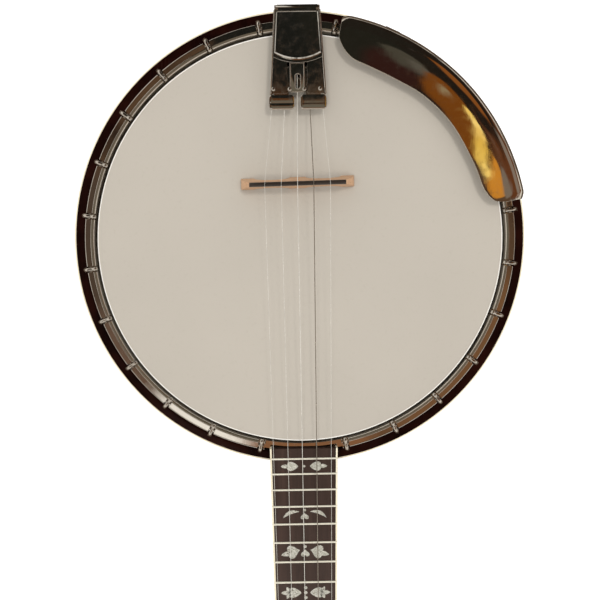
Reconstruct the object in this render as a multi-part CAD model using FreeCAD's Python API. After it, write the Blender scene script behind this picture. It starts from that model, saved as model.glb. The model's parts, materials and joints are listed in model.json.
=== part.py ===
import FreeCAD, Part
import os
from math import atan, cos, degrees, hypot, pi, radians, sin, sqrt

# Five-string resonator banjo lying on its back.  Millimetres, +Z up through the head, +Y to the
# tailpiece, -Y along the neck, +X to the fifth string.  The origin is on the pot's axis, on the
# resonator's flat back.

# Pot
RESONATOR_R = 164.2
RESONATOR_TOP = 66.0
RESONATOR_WALL = 7.5
BACK_THICKNESS = 5.5
BACK_FLAT_R = 122.0
BACK_RISE = 7.0
BINDING = 1.6
RIM_INNER = 120.65
RIM_OUTER = 139.7
RIM_BOTTOM = 20.0
RIM_TOP = 80.0
RING_SKIRT_INNER = 134.0
RING_SKIRT_Z = 66.0
RING_OUTER = 138.95
HEAD_TOP = 91.3
HEAD_THICKNESS = 0.35
HEAD_CROWN = 2.4
COLLAR_BOTTOM = 76.0
FLESH_OUTER = 143.4
FLESH_TOP = 80.0
HOOP_INNER = 140.4
HOOP_OUTER = 147.9
HOOP_BAND = 91.2
HOOP_TOP = 93.0
HOOP_BOTTOM = 74.0
HOOP_BEAD = 2.8
NOTCH_HALF = 27.4
NOTCH_FLOOR = 86.0
FIT = 0.05

# Hooks and flange
HOOK_COUNT = 24
HOOK_FIRST = 12.0
HOOK_STEP = 14.36
HOOK_R = 150.3
HOOK_WIRE = 2.0
HOOK_AXIS_Z = 91.1
HOOK_NOSE_R = 142.4
HOOK_FOOT = 46.0
FLANGE_Z = 60.0
FLANGE_THICKNESS = 3.0
FLANGE_OUTER = 156.2
FLANGE_TUBE = 143.4
FLANGE_GAP_HALF = 26.9
FLANGE_SLOT = (146.6, 152.6)
FLANGE_SLOT_ANGLE = 7.6
NUT_FLATS = 3.6

# Coordinator rods
ROD_HEIGHTS = (32.0, 48.0)
ROD_R = 4.0
STUD_R = 3.0

# Neck, in its own frame: top of the fretboard is z = 0, s runs from the pot to the headstock
SCALE = 670.0
FRET_COUNT = 22
NECK_SLOPE = degrees(atan(0.0439))
BOARD_ORIGIN_Y = -152.0
BOARD_ORIGIN_Z = 93.5
LAST_FRET_S = -0.7
BOARD_END_S = -8.0
BOARD_THICKNESS = 5.2
BOARD_BINDING = 1.5
LEFT_AT_END, LEFT_AT_NUT = -23.8, -19.3
RIGHT_AT_END, RIGHT_TAPER = 23.9, 0.0105
RIGHT_AT_NUT = 12.5
STEP_START, STEP_LENGTH, STEP_RIGHT = 320.0, 17.0, 14.3
HEEL_DEPTHS = ((-16, 71), (0, 71), (14, 69.5), (22, 58), (32, 44), (44, 34), (60, 26.5), (84, 23.3))
NUT_THICKNESS = 5.0
STRING_AT_NUT = (-16.1, -7.9, 0.3, 8.5)
NUT_STRING_HEIGHT = 1.7
FIFTH_NUT_S = 318.5
FIFTH_NUT_X = 17.6
FIFTH_STRING_HEIGHT = 2.3

# Headstock, in its own frame: overlay face is z = 0, x = 0 on its middle line
HEAD_PITCH = 10.5
HEAD_MIDDLE_X = -3.4
HEAD_LENGTH = 166.0
HEAD_WOOD = 12.4
OVERLAY = 1.6
HEAD_DROP = 2.4
TUNER_PLACES = ((-19.0, 44.0), (-15.5, 108.0), (15.5, 108.0), (19.0, 44.0))

# Strings and bridge
STRING_RADII = (0.127, 0.152, 0.203, 0.292, 0.127)
STRING_AT_BRIDGE = (-22.9, -12.1, -1.4, 9.2, 20.1)
STRING_AT_TAIL = (-13.0, -6.6, -0.2, 6.2, 12.6)
BRIDGE_Y = 38.9
BRIDGE_MIDDLE_X = -1.3
BRIDGE_TOP = 107.6
BRIDGE_TURN = 1.0
TAIL_PRESS_Y = 87.0
TAIL_ANCHOR_Y, TAIL_ANCHOR_Z = 133.0, 98.3

VEC = FreeCAD.Vector
UP = VEC(0, 0, 1)
ORIGIN = VEC(0, 0, 0)


def save(name, shape):
    shape.exportStep("parts/" + name + ".step")
    print(name, len(shape.Solids), "solids", round(shape.Volume), "mm3", shape.isValid())


def group(solids):
    return Part.makeCompound(list(solids))


def cylinder(radius, start, end):
    direction = end.sub(start)
    return Part.makeCylinder(radius, direction.Length, start, direction)


def block(low, high):
    size = VEC(*high).sub(VEC(*low))
    return Part.makeBox(size.x, size.y, size.z, VEC(*low))


def ring(inner, outer, low, high):
    tube = Part.makeCylinder(outer, high - low, VEC(0, 0, low))
    return tube.cut(Part.makeCylinder(inner, high - low + 2, VEC(0, 0, low - 1)))


def polar(radius, angle, z):
    """Angle in degrees from -Y, growing towards +X."""
    return VEC(radius * sin(radians(angle)), -radius * cos(radians(angle)), z)


def face_of(edges):
    return Part.Face(Part.Wire(Part.__sortEdges__(edges)))


def line(a, b):
    return Part.LineSegment(a, b).toShape()


def arc(a, b, c):
    return Part.Arc(a, b, c).toShape()


def outline(points, closed=True):
    corners = [VEC(*p) for p in points]
    if closed:
        corners.append(corners[0])
    return Part.makePolygon(corners)


def revolve(points):
    """Turn a closed outline of (radius, z) corners round the pot's axis."""
    face = Part.Face(outline([(r, 0, z) for r, z in points]))
    return face.revolve(ORIGIN, UP, 360)


def hook_angles():
    half = HOOK_COUNT // 2
    right = [HOOK_FIRST + HOOK_STEP * k for k in range(half)]
    return right + [-a for a in right]


# frames of neck and headstock

def on_neck(shape):
    placed = shape.copy()
    placed.rotate(ORIGIN, VEC(1, 0, 0), NECK_SLOPE)
    placed.translate(VEC(0, BOARD_ORIGIN_Y, BOARD_ORIGIN_Z))
    return placed


def neck_point(x, s, z):
    a = radians(NECK_SLOPE)
    return VEC(x, BOARD_ORIGIN_Y - s * cos(a) - z * sin(a), BOARD_ORIGIN_Z - s * sin(a) + z * cos(a))


def on_headstock(shape):
    placed = shape.copy()
    placed.rotate(ORIGIN, VEC(1, 0, 0), HEAD_PITCH)
    placed.translate(VEC(HEAD_MIDDLE_X, -(NUT_S + NUT_THICKNESS), -HEAD_DROP))
    return on_neck(placed)


def headstock_point(x, s, z):
    a = radians(HEAD_PITCH)
    back = s * cos(a) + z * sin(a)
    return neck_point(x + HEAD_MIDDLE_X, NUT_S + NUT_THICKNESS + back, z * cos(a) - s * sin(a) - HEAD_DROP)


def fret_s(number):
    last = SCALE * 2 ** (-FRET_COUNT / 12)
    return SCALE * 2 ** (-number / 12) - last + LAST_FRET_S


NUT_S = fret_s(0)
BOARD_LENGTH = NUT_S - BOARD_END_S


def left_edge(s):
    return LEFT_AT_END + (LEFT_AT_NUT - LEFT_AT_END) * (s - BOARD_END_S) / BOARD_LENGTH


def right_edge(s):
    wide = RIGHT_AT_END - RIGHT_TAPER * s
    if s <= STEP_START:
        return wide
    end = STEP_START + STEP_LENGTH
    if s >= end:
        return STEP_RIGHT + (RIGHT_AT_NUT - STEP_RIGHT) * (s - end) / (NUT_S - end)
    share = (1 - cos(pi * (s - STEP_START) / STEP_LENGTH)) / 2
    return RIGHT_AT_END - RIGHT_TAPER * STEP_START + share * (STEP_RIGHT - right_edge(STEP_START))


def board_outline(inset, z):
    """Plan of the fretboard with its step after the fifth fret, inset from the true edge."""
    step = [VEC(right_edge(s) - inset, -s, z) for s in
            (STEP_START + STEP_LENGTH * k / 4 for k in range(5))]
    curve = Part.BSplineCurve()
    curve.interpolate(step)
    start, end = BOARD_END_S, NUT_S
    a = VEC(left_edge(start) + inset, -start, z)
    b = VEC(left_edge(end) + inset, -end, z)
    c = VEC(right_edge(end) - inset, -end, z)
    d = VEC(right_edge(start) - inset, -start, z)
    return Part.Wire([line(a, b), line(b, c), line(c, step[4]), curve.toShape(), line(step[0], d),
                      line(d, a)])


# pot

def resonator_shell():
    inner = RESONATOR_R - RESONATOR_WALL
    bend = 0.72
    mid_r = BACK_FLAT_R + bend * (RESONATOR_R - BACK_FLAT_R)
    edges = [line(VEC(0, 0, 0), VEC(BACK_FLAT_R, 0, 0)),
             arc(VEC(BACK_FLAT_R, 0, 0), VEC(mid_r, 0, BACK_RISE * 0.47), VEC(RESONATOR_R, 0, BACK_RISE)),
             line(VEC(RESONATOR_R, 0, BACK_RISE), VEC(RESONATOR_R, 0, RESONATOR_TOP)),
             line(VEC(RESONATOR_R, 0, RESONATOR_TOP), VEC(inner, 0, RESONATOR_TOP)),
             line(VEC(inner, 0, RESONATOR_TOP), VEC(inner, 0, BACK_RISE + BACK_THICKNESS + 1)),
             line(VEC(inner, 0, BACK_RISE + BACK_THICKNESS + 1), VEC(BACK_FLAT_R, 0, BACK_THICKNESS)),
             line(VEC(BACK_FLAT_R, 0, BACK_THICKNESS), VEC(0, 0, BACK_THICKNESS)),
             line(VEC(0, 0, BACK_THICKNESS), VEC(0, 0, 0))]
    shell = Part.Face(Part.Wire(edges)).revolve(ORIGIN, UP, 360)
    for binding in binding_rings(0):
        shell = shell.cut(binding)
    return shell.cut(heel_loft(0.4))


def binding_rings(gap):
    inner = RESONATOR_R - BINDING + gap
    top = ring(inner, RESONATOR_R, RESONATOR_TOP - 4.0, RESONATOR_TOP)
    low = ring(inner, RESONATOR_R, BACK_RISE, BACK_RISE + 4.0)
    return top, low


def resonator_binding():
    top, low = binding_rings(0)
    return group([top.cut(heel_loft(0.4)), low])


LUG_ANGLES = (HOOK_FIRST + 2.5 * HOOK_STEP, HOOK_FIRST + 8.5 * HOOK_STEP)
LUG_R = 149.6
LUG_LOW = 42.0
LUG_HALF = 9.0


def lug_angles():
    return [sign * a for a in LUG_ANGLES for sign in (1, -1)]


def resonator_lugs():
    wall = RESONATOR_R - RESONATOR_WALL - FIT
    lugs = []
    for angle in lug_angles():
        lug = block((-LUG_HALF, -wall - 5, LUG_LOW), (LUG_HALF, -LUG_R + 6, FLANGE_Z - FIT))
        lug = lug.common(Part.makeCylinder(wall, 100))
        lug = lug.cut(Part.makeCylinder(STUD_R, 40, VEC(0, -LUG_R, LUG_LOW + 4)))
        lug.rotate(ORIGIN, UP, angle)
        lugs.append(lug)
    return group(lugs)


def resonator_thumbscrews():
    screws = []
    for angle in lug_angles():
        top = FLANGE_Z + FLANGE_THICKNESS
        shank = Part.makeCylinder(STUD_R - FIT, top - LUG_LOW - 6, VEC(0, -LUG_R, LUG_LOW + 6))
        collar = Part.makeCylinder(5.0, 2.0, VEC(0, -LUG_R, top))
        knob = Part.makeCylinder(1.3, 9.0, VEC(-4.5, -LUG_R, top + 6.5), VEC(1, 0, 0))
        wing = block((-4.5, -LUG_R - 1.3, top + 1.5), (4.5, -LUG_R + 1.3, top + 6.5))
        screw = shank.fuse(collar).fuse(wing).fuse(knob)
        screw.rotate(ORIGIN, UP, angle)
        screws.append(screw)
    return group(screws)


def rod_holes(radius):
    holes = [Part.makeCylinder(radius, 60, VEC(0, y, z), VEC(0, 1, 0))
             for z in ROD_HEIGHTS for y in (-160, 100)]
    return holes


def rim():
    body = revolve([(RIM_INNER, RIM_BOTTOM), (RIM_OUTER, RIM_BOTTOM), (RIM_OUTER, RING_SKIRT_Z),
                    (RING_SKIRT_INNER, RING_SKIRT_Z), (RING_SKIRT_INNER, RIM_TOP), (RIM_INNER, RIM_TOP)])
    for hole in rod_holes(STUD_R + 0.3):
        body = body.cut(hole)
    return body


def tone_ring():
    top = HEAD_TOP - HEAD_THICKNESS - FIT
    crown = HEAD_CROWN
    points = [(RIM_INNER + 0.5, RIM_TOP + FIT), (RING_SKIRT_INNER + FIT, RIM_TOP + FIT),
              (RING_SKIRT_INNER + FIT, RING_SKIRT_Z + FIT), (RING_OUTER, RING_SKIRT_Z + FIT),
              (RING_OUTER, top - crown), (RING_OUTER - 0.7, top - 0.7), (RING_OUTER - crown, top),
              (RING_OUTER - 5, top), (RING_OUTER - 8, top - 2.0), (RIM_INNER + 0.5, top - 2.6)]
    ring_body = revolve(points)
    for k in range(20):
        place = polar(RIM_INNER - 1, k * 18 + 9, RIM_TOP + 4.0)
        hole = Part.makeCylinder(3.2, 9, place, polar(1, k * 18 + 9, 0))
        ring_body = ring_body.cut(hole)
    return ring_body


def head_film():
    outer = RING_OUTER + FIT + HEAD_THICKNESS
    inner = RING_OUTER + FIT
    low_top = HEAD_TOP - HEAD_THICKNESS
    bend = HEAD_CROWN + HEAD_THICKNESS
    far = bend * (1 - sqrt(0.5))
    near = HEAD_CROWN * (1 - sqrt(0.5))
    edges = [line(VEC(0, 0, HEAD_TOP), VEC(outer - bend, 0, HEAD_TOP)),
             arc(VEC(outer - bend, 0, HEAD_TOP), VEC(outer - far, 0, HEAD_TOP - far),
                 VEC(outer, 0, HEAD_TOP - bend)),
             line(VEC(outer, 0, HEAD_TOP - bend), VEC(outer, 0, COLLAR_BOTTOM)),
             line(VEC(outer, 0, COLLAR_BOTTOM), VEC(inner, 0, COLLAR_BOTTOM)),
             line(VEC(inner, 0, COLLAR_BOTTOM), VEC(inner, 0, HEAD_TOP - bend)),
             arc(VEC(inner, 0, HEAD_TOP - bend), VEC(inner - near, 0, low_top - near),
                 VEC(inner - HEAD_CROWN, 0, low_top)),
             line(VEC(inner - HEAD_CROWN, 0, low_top), VEC(0, 0, low_top)),
             line(VEC(0, 0, low_top), VEC(0, 0, HEAD_TOP))]
    return Part.Face(Part.Wire(edges)).revolve(ORIGIN, UP, 360)


def flesh_hoop():
    inner = RING_OUTER + HEAD_THICKNESS + 2 * FIT
    return ring(inner, FLESH_OUTER, COLLAR_BOTTOM, FLESH_TOP - FIT)


def tension_hoop():
    bead_end = HOOP_INNER + HOOP_BEAD
    skirt = FLESH_OUTER + 0.4
    points = [(HOOP_INNER, FLESH_TOP), (HOOP_INNER, HOOP_TOP - 0.9), (HOOP_INNER + 0.9, HOOP_TOP),
              (bead_end - 0.9, HOOP_TOP), (bead_end, HOOP_BAND), (HOOP_OUTER - 0.5, HOOP_BAND),
              (HOOP_OUTER, HOOP_BAND - 0.5), (HOOP_OUTER, HOOP_BOTTOM), (skirt, HOOP_BOTTOM),
              (skirt, FLESH_TOP)]
    hoop = revolve(points)
    cutter = block((-NOTCH_HALF, -HOOP_OUTER - 5, NOTCH_FLOOR), (NOTCH_HALF, -100, HOOP_TOP + 2))
    hoop = hoop.cut(cutter)
    floor = HOOK_AXIS_Z - HOOK_WIRE
    for angle in hook_angles():
        notch = block((-2.4, -HOOP_OUTER - 3, floor - FIT), (2.4, -HOOP_INNER + 0.6, HOOP_TOP + 3))
        corner = block((-2.4, -HOOP_OUTER - 3, floor - 2.4), (2.4, -HOOK_R + 4.3, HOOP_TOP))
        relief = notch.fuse(corner)
        relief.rotate(ORIGIN, UP, angle)
        hoop = hoop.cut(relief)
    return hoop


def hook():
    bend = 4.0
    x = HOOK_R
    corner = bend * (1 - sqrt(0.5))
    path = Part.Wire([
        line(VEC(x, 0, HOOK_FOOT), VEC(x, 0, HOOK_AXIS_Z - bend)),
        arc(VEC(x, 0, HOOK_AXIS_Z - bend), VEC(x - corner, 0, HOOK_AXIS_Z - corner),
            VEC(x - bend, 0, HOOK_AXIS_Z)),
        line(VEC(x - bend, 0, HOOK_AXIS_Z), VEC(HOOK_NOSE_R, 0, HOOK_AXIS_Z))])
    section = Part.Wire(Part.makeCircle(HOOK_WIRE, VEC(x, 0, HOOK_FOOT), UP))
    wire = path.makePipeShell([section], True, True)
    return wire.fuse(Part.makeSphere(HOOK_WIRE + 0.1, VEC(HOOK_NOSE_R, 0, HOOK_AXIS_Z + 0.1)))


def bracket_hooks():
    hooks = []
    for angle in hook_angles():
        copy = hook()
        copy.rotate(ORIGIN, UP, angle - 90)
        hooks.append(copy)
    return group(hooks)


def hexagon(radius, height, place, direction):
    corners = [VEC(radius * cos(radians(60 * k)), radius * sin(radians(60 * k)), 0) for k in range(7)]
    body = Part.Face(Part.makePolygon(corners)).extrude(VEC(0, 0, height))
    body.Placement = FreeCAD.Placement(place, FreeCAD.Rotation(UP, direction))
    return body


def bracket_nuts():
    nuts = []
    for angle in hook_angles():
        place = polar(HOOK_R, angle, FLANGE_Z - 9)
        nut = hexagon(NUT_FLATS, 9 - FIT, place, UP)
        nuts.append(nut.cut(Part.makeCylinder(HOOK_WIRE + 0.03, 12, place.sub(VEC(0, 0, 1)))))
    return group(nuts)


def flange():
    top = FLANGE_Z + FLANGE_THICKNESS
    plate = revolve([(RIM_OUTER + FIT, FLANGE_Z - 3), (FLANGE_TUBE, FLANGE_Z - 3), (FLANGE_TUBE, FLANGE_Z),
                     (FLANGE_OUTER, FLANGE_Z), (FLANGE_OUTER, top), (FLANGE_TUBE, top),
                     (FLANGE_TUBE - 1, top + 2), (RIM_OUTER + FIT, top + 2)])
    gap = FLANGE_GAP_HALF
    plate = plate.cut(block((-gap, -FLANGE_OUTER - 3, FLANGE_Z - 8), (gap, -100, top + 5)))
    cutters = []
    for angle in hook_angles():
        cutters.append(Part.makeCylinder(HOOK_WIRE + 0.2, 20, polar(HOOK_R, angle, FLANGE_Z - 8)))
    for angle in lug_angles():
        cutters.append(Part.makeCylinder(STUD_R + 0.2, 20, polar(LUG_R, angle, FLANGE_Z - 8)))
    cutters.append(block((-7, 147.6, FLANGE_Z - 8), (7, 152.4, top + 5)))
    solid_angles = [round(a, 3) for a in lug_angles()]
    for k in range(HOOK_COUNT // 2 - 1):
        for sign in (1, -1):
            angle = sign * (HOOK_FIRST + HOOK_STEP * (k + 0.5))
            if round(angle, 3) in solid_angles:
                continue
            slot = ring(*FLANGE_SLOT, FLANGE_Z - 1, top + 1)
            wedge = Part.makeCylinder(170, 20, VEC(0, 0, FLANGE_Z - 8), UP, FLANGE_SLOT_ANGLE)
            wedge.rotate(ORIGIN, UP, angle - 90 - FLANGE_SLOT_ANGLE / 2)
            cutters.append(slot.common(wedge))
    return plate.cut(Part.makeCompound(cutters))


def coordinator_rods():
    rods = []
    for z in ROD_HEIGHTS:
        rod = cylinder(ROD_R, VEC(0, -118, z), VEC(0, 110, z))
        rod = rod.fuse(cylinder(STUD_R, VEC(0, 109, z), VEC(0, 156 if z == ROD_HEIGHTS[0] else 148, z)))
        socket = cylinder(STUD_R + 0.02, VEC(0, -119, z), VEC(0, -103, z))
        rods.append(rod.cut(socket))
    return group(rods)


def rod_nuts():
    nuts = []
    for z in ROD_HEIGHTS:
        inside = hexagon(6.0, 5.0, VEC(0, 114.8, z), VEC(0, 1, 0))
        outside = hexagon(6.0, 4.4, VEC(0, 142.2, z), VEC(0, 1, 0))
        washer = cylinder(6.6, VEC(0, 140.6, z), VEC(0, 142.1, z))
        hole = cylinder(STUD_R + 0.02, VEC(0, 100, z), VEC(0, 170, z))
        nuts += [inside.cut(hole), outside.cut(hole), washer.cut(hole)]
    hole = cylinder(STUD_R + 0.02, VEC(0, 100, ROD_HEIGHTS[0]), VEC(0, 170, ROD_HEIGHTS[0]))
    nuts.append(hexagon(5.6, 3.6, VEC(0, 151.8, ROD_HEIGHTS[0]), VEC(0, 1, 0)).cut(hole))
    return group(nuts)


def lag_bolts():
    return group([cylinder(STUD_R, VEC(0, -167, z), VEC(0, -105, z)) for z in ROD_HEIGHTS])


# tailpiece

TAIL_REAR_Y = 154.0
TAIL_REAR_HALF = 14.6
TAIL_FRONT_HALF = 18.4
TAIL_BASE_Z = 94.6
TAIL_WALL_TOP = 101.6
TAIL_SHEET = 1.4
LID_FRONT_Y = 119.0
LID_TOP = 103.6
HINGE_Y, HINGE_Z = 152.0, 99.5
REAR_WALL_TOP = 97.4


def tail_half(y):
    share = (TAIL_REAR_Y - y) / (TAIL_REAR_Y - 96)
    return TAIL_REAR_HALF + (TAIL_FRONT_HALF - TAIL_REAR_HALF) * share


def tail_plan(inset, y_low, y_high, z, height):
    low, high = tail_half(y_low) - inset, tail_half(y_high) - inset
    wire = outline([(-low, y_low, z), (low, y_low, z), (high, y_high, z), (-high, y_high, z)])
    return Part.Face(wire).extrude(VEC(0, 0, height))


def tailpiece_frame():
    base = tail_plan(0, 100, TAIL_REAR_Y, TAIL_BASE_Z, TAIL_SHEET)
    tub = tail_plan(0, 100, TAIL_REAR_Y, TAIL_BASE_Z, TAIL_WALL_TOP - TAIL_BASE_Z)
    hollow = tail_plan(TAIL_SHEET, 90, TAIL_REAR_Y - TAIL_SHEET, TAIL_BASE_Z - 1, 12)
    frame = tub.cut(hollow).fuse(base)
    rear = block((-9, TAIL_REAR_Y - TAIL_SHEET, 78), (9, TAIL_REAR_Y, TAIL_BASE_Z + 1))
    frame = frame.fuse(rear)
    frame = frame.cut(block((-30, HINGE_Y - 1.8, REAR_WALL_TOP), (30, TAIL_REAR_Y + 2, TAIL_WALL_TOP + 1)))
    for sign in (1, -1):
        inside, outside = sign * (TAIL_REAR_HALF - TAIL_SHEET), sign * TAIL_REAR_HALF
        frame = frame.fuse(cylinder(1.9, VEC(inside, HINGE_Y, HINGE_Z), VEC(outside, HINGE_Y, HINGE_Z)))
        low_x, high_x = sorted((inside, outside))
        frame = frame.fuse(block((low_x, HINGE_Y - 1.9, TAIL_BASE_Z), (high_x, HINGE_Y + 1.8, HINGE_Z)))
    top_low = TAIL_WALL_TOP - TAIL_SHEET
    deck = tail_plan(0, 97, 126, top_low, TAIL_SHEET)
    for x in (-6.2, 5.2):
        deck = deck.cut(block((x - 1.1, 98.5, top_low - 1), (x + 1.1, 121, TAIL_WALL_TOP + 1)))
    slot = block((-1.6, 102.6, top_low - 1), (1.6, 108.6, TAIL_WALL_TOP + 1))
    for y in (102.6, 108.6):
        slot = slot.fuse(Part.makeCylinder(1.6, 4, VEC(0, y, top_low - 1)))
    frame = frame.fuse(deck.cut(slot))
    for x_low, x_high in ((-19.4, -2.6), (1.2, 18.6)):
        tab = block((x_low, 87.4, top_low), (x_high, 95.4, TAIL_WALL_TOP))
        tab = tab.makeFillet(3.4, [e for e in tab.Edges if abs(e.Length - TAIL_SHEET) < 0.01])
        middle = (x_low + x_high) / 2
        arm = block((middle - 4, 94, top_low), (middle + 4, 99, TAIL_WALL_TOP))
        frame = frame.fuse(tab).fuse(arm)
    for x in STRING_AT_TAIL:
        foot = VEC(x, TAIL_ANCHOR_Y + 1.6, TAIL_BASE_Z + 1)
        frame = frame.fuse(cylinder(1.0, foot, foot.add(VEC(0, 0, 4))))
    frame = frame.cut(cylinder(1.05, VEC(-30, HINGE_Y, HINGE_Z), VEC(30, HINGE_Y, HINGE_Z)))
    return frame.cut(cylinder(2.0, VEC(0, 150, 84), VEC(0, 160, 84))).removeSplitter()


def tailpiece_lid():
    """Curved cover with a rounded front edge; two ears reach down to the pin."""
    low = TAIL_WALL_TOP + 0.3
    front_half = tail_half(LID_FRONT_Y + 4)
    rear_half = tail_half(TAIL_REAR_Y)
    corners = [VEC(-rear_half, HINGE_Y + 1.0, low), VEC(-front_half, LID_FRONT_Y + 4, low),
               VEC(0, LID_FRONT_Y, low), VEC(front_half, LID_FRONT_Y + 4, low),
               VEC(rear_half, HINGE_Y + 1.0, low)]
    plan = [line(corners[0], corners[1]), arc(corners[1], corners[2], corners[3]),
            line(corners[3], corners[4]), line(corners[4], corners[0])]
    plate = Part.Face(Part.Wire(plan)).extrude(VEC(0, 0, LID_TOP - low))
    dome = Part.makeCylinder(90, 60, VEC(0, 110, LID_TOP - 90), VEC(0, 1, 0))
    lid = plate.common(dome)
    for sign in (1, -1):
        x = sign * (TAIL_REAR_HALF - TAIL_SHEET - 1.3)
        ear = block((x - 0.9, HINGE_Y - 1.2, HINGE_Z - 0.6), (x + 0.9, HINGE_Y + 1.2, low + 0.4))
        ear = ear.fuse(cylinder(1.6, VEC(x - 0.9, HINGE_Y, HINGE_Z), VEC(x + 0.9, HINGE_Y, HINGE_Z)))
        lid = lid.fuse(ear)
    lid = lid.cut(cylinder(1.05, VEC(-30, HINGE_Y, HINGE_Z), VEC(30, HINGE_Y, HINGE_Z)))
    return lid.removeSplitter()


def tailpiece_pin():
    half = TAIL_REAR_HALF - 0.05
    return cylinder(1.0, VEC(-half, HINGE_Y, HINGE_Z), VEC(half, HINGE_Y, HINGE_Z))


def tailpiece_hanger():
    strip = block((-5.5, 149.2, 24), (5.5, 151.6, 90))
    strip = strip.makeFillet(4.0, [e for e in strip.Edges if abs(e.Length - 2.4) < 0.01])
    strip = strip.cut(cylinder(STUD_R + 0.1, VEC(0, 140, ROD_HEIGHTS[0]), VEC(0, 160, ROD_HEIGHTS[0])))
    return strip.cut(cylinder(1.9, VEC(0, 140, 84), VEC(0, 160, 84)))


def tailpiece_bolt():
    bolt = cylinder(1.85, VEC(0, 148.4, 84), VEC(0, 157.5, 84))
    head = cylinder(4.2, VEC(0, TAIL_REAR_Y + 0.05, 84), VEC(0, 158, 84))
    return bolt.fuse(head)


# armrest

REST_ANGLES = (11.4, 79.6)
REST_OUTER = 156.6
REST_SHEET = 1.2
REST_TOP = 100.4
CLAMP_HOOKS = (10, 7)


def rest_place(radius, angle, z=0):
    """Angle in degrees from +Y, growing towards +X."""
    return VEC(radius * sin(radians(angle)), radius * cos(radians(angle)), z)


def rest_section(inset):
    """Line across the armrest, from its outer lip to its inner edge."""
    outer = REST_OUTER - inset
    top = REST_TOP - inset
    return [VEC(0, outer, 84), VEC(0, outer, 91), VEC(0, outer - 2.6, 96.2 - inset * 0.5),
            VEC(0, outer - 8.4, top - 1.3), VEC(0, 122.6, top)]


def armrest_plate():
    """Sheet with a rolled outer edge, cut to a broad shape that narrows at its left end."""
    outside = rest_section(0)
    inside = rest_section(REST_SHEET)
    over = Part.BSplineCurve()
    over.interpolate(outside[1:])
    under = Part.BSplineCurve()
    under.interpolate(inside[1:])
    edges = [line(outside[0], outside[1]), over.toShape(), line(outside[-1], inside[-1]),
             under.toShape(), line(inside[1], inside[0]), line(inside[0], outside[0])]
    section = face_of(edges)
    section.rotate(ORIGIN, UP, -REST_ANGLES[0])
    sheet = section.revolve(ORIGIN, UP, -(REST_ANGLES[1] - REST_ANGLES[0]))
    inner = [rest_place(146.5, 11.0), rest_place(138, 11.2), rest_place(130, 13.4), rest_place(125.0, 16.9),
             rest_place(123.8, 22), rest_place(124.0, 31), rest_place(126.2, 41), rest_place(127.2, 53),
             rest_place(126.9, 66), rest_place(127.8, 74.4), rest_place(132.4, 78.3),
             rest_place(138.5, 79.4), rest_place(150, 80.2)]
    edge = Part.BSplineCurve()
    edge.interpolate(inner)
    far_end, near_end = rest_place(190, 86), rest_place(190, 6)
    keep = Part.Face(Part.Wire([edge.toShape(), line(inner[-1], far_end),
                                arc(far_end, rest_place(190, 45), near_end), line(near_end, inner[0])]))
    keep = keep.extrude(VEC(0, 0, 40))
    keep.translate(VEC(0, 0, 75))
    return sheet.common(keep)


def armrest_clamps():
    clamps = []
    for k in CLAMP_HOOKS:
        low = 66.0
        strip = block((-5, -REST_OUTER + 1.6, low), (5, -REST_OUTER + 3.0, 91))
        foot = block((-5, -REST_OUTER + 1.6, low), (5, -HOOP_OUTER - 0.2, low + 1.6))
        clamp = strip.fuse(foot).cut(Part.makeCylinder(HOOK_WIRE + 0.1, 10, VEC(0, -HOOK_R, low - 2)))
        clamp = clamp.cut(cylinder(1.4, VEC(0, -160, 73), VEC(0, -150, 73)))
        clamp.rotate(ORIGIN, UP, HOOK_FIRST + HOOK_STEP * k)
        clamps.append(clamp.removeSplitter())
    return group(clamps)


def armrest_screws():
    screws = []
    for k in CLAMP_HOOKS:
        shank = cylinder(1.35, VEC(0, -REST_OUTER + 0.4, 73), VEC(0, -152.4, 73))
        head = cylinder(2.9, VEC(0, -REST_OUTER - 1.4, 73), VEC(0, -REST_OUTER + 1.55, 73))
        slot = block((-3.5, -REST_OUTER - 2, 72.6), (3.5, -REST_OUTER - 0.6, 73.4))
        screw = shank.fuse(head).cut(slot)
        screw.rotate(ORIGIN, UP, HOOK_FIRST + HOOK_STEP * k)
        screws.append(screw)
    return group(screws)


# bridge and strings

BRIDGE_FEET_HALF = 38.4
BRIDGE_CAP_HALF = 31.7
BRIDGE_CAP_LOW = BRIDGE_TOP - 2.2


def place_bridge(shape):
    placed = shape.copy()
    placed.rotate(ORIGIN, UP, BRIDGE_TURN)
    placed.translate(VEC(BRIDGE_MIDDLE_X, BRIDGE_Y, 0))
    return placed


def bridge_base():
    """Three feet joined by two arches, thick at the feet and thin at the top."""
    low, high = HEAD_TOP, BRIDGE_CAP_LOW
    foot, top = BRIDGE_FEET_HALF, BRIDGE_FEET_HALF - 1.4
    edges = [line(VEC(-foot, 0, low), VEC(-foot + 9, 0, low))]
    arch_z = low + 6.6
    for start in (-foot + 9, 5.5):
        end = start + foot - 14.5
        edges.append(arc(VEC(start, 0, low), VEC((start + end) / 2, 0, arch_z), VEC(end, 0, low)))
        if start < 0:
            edges.append(line(VEC(end, 0, low), VEC(5.5, 0, low)))
    edges += [line(VEC(foot - 9, 0, low), VEC(foot, 0, low)),
              line(VEC(foot, 0, low), VEC(top, 0, low + 6.5)),
              line(VEC(top, 0, low + 6.5), VEC(BRIDGE_CAP_HALF, 0, high)),
              line(VEC(BRIDGE_CAP_HALF, 0, high), VEC(-BRIDGE_CAP_HALF, 0, high)),
              line(VEC(-BRIDGE_CAP_HALF, 0, high), VEC(-top, 0, low + 6.5)),
              line(VEC(-top, 0, low + 6.5), VEC(-foot, 0, low))]
    front = Part.Face(Part.Wire(edges))
    front.translate(VEC(0, -10, 0))
    slab = front.extrude(VEC(0, 20, 0))
    side = outline([(-60, -1.35, high), (-60, 1.35, high), (-60, 3.9, low), (-60, -1.6, low)])
    return place_bridge(slab.common(Part.Face(side).extrude(VEC(120, 0, 0))))


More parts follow.
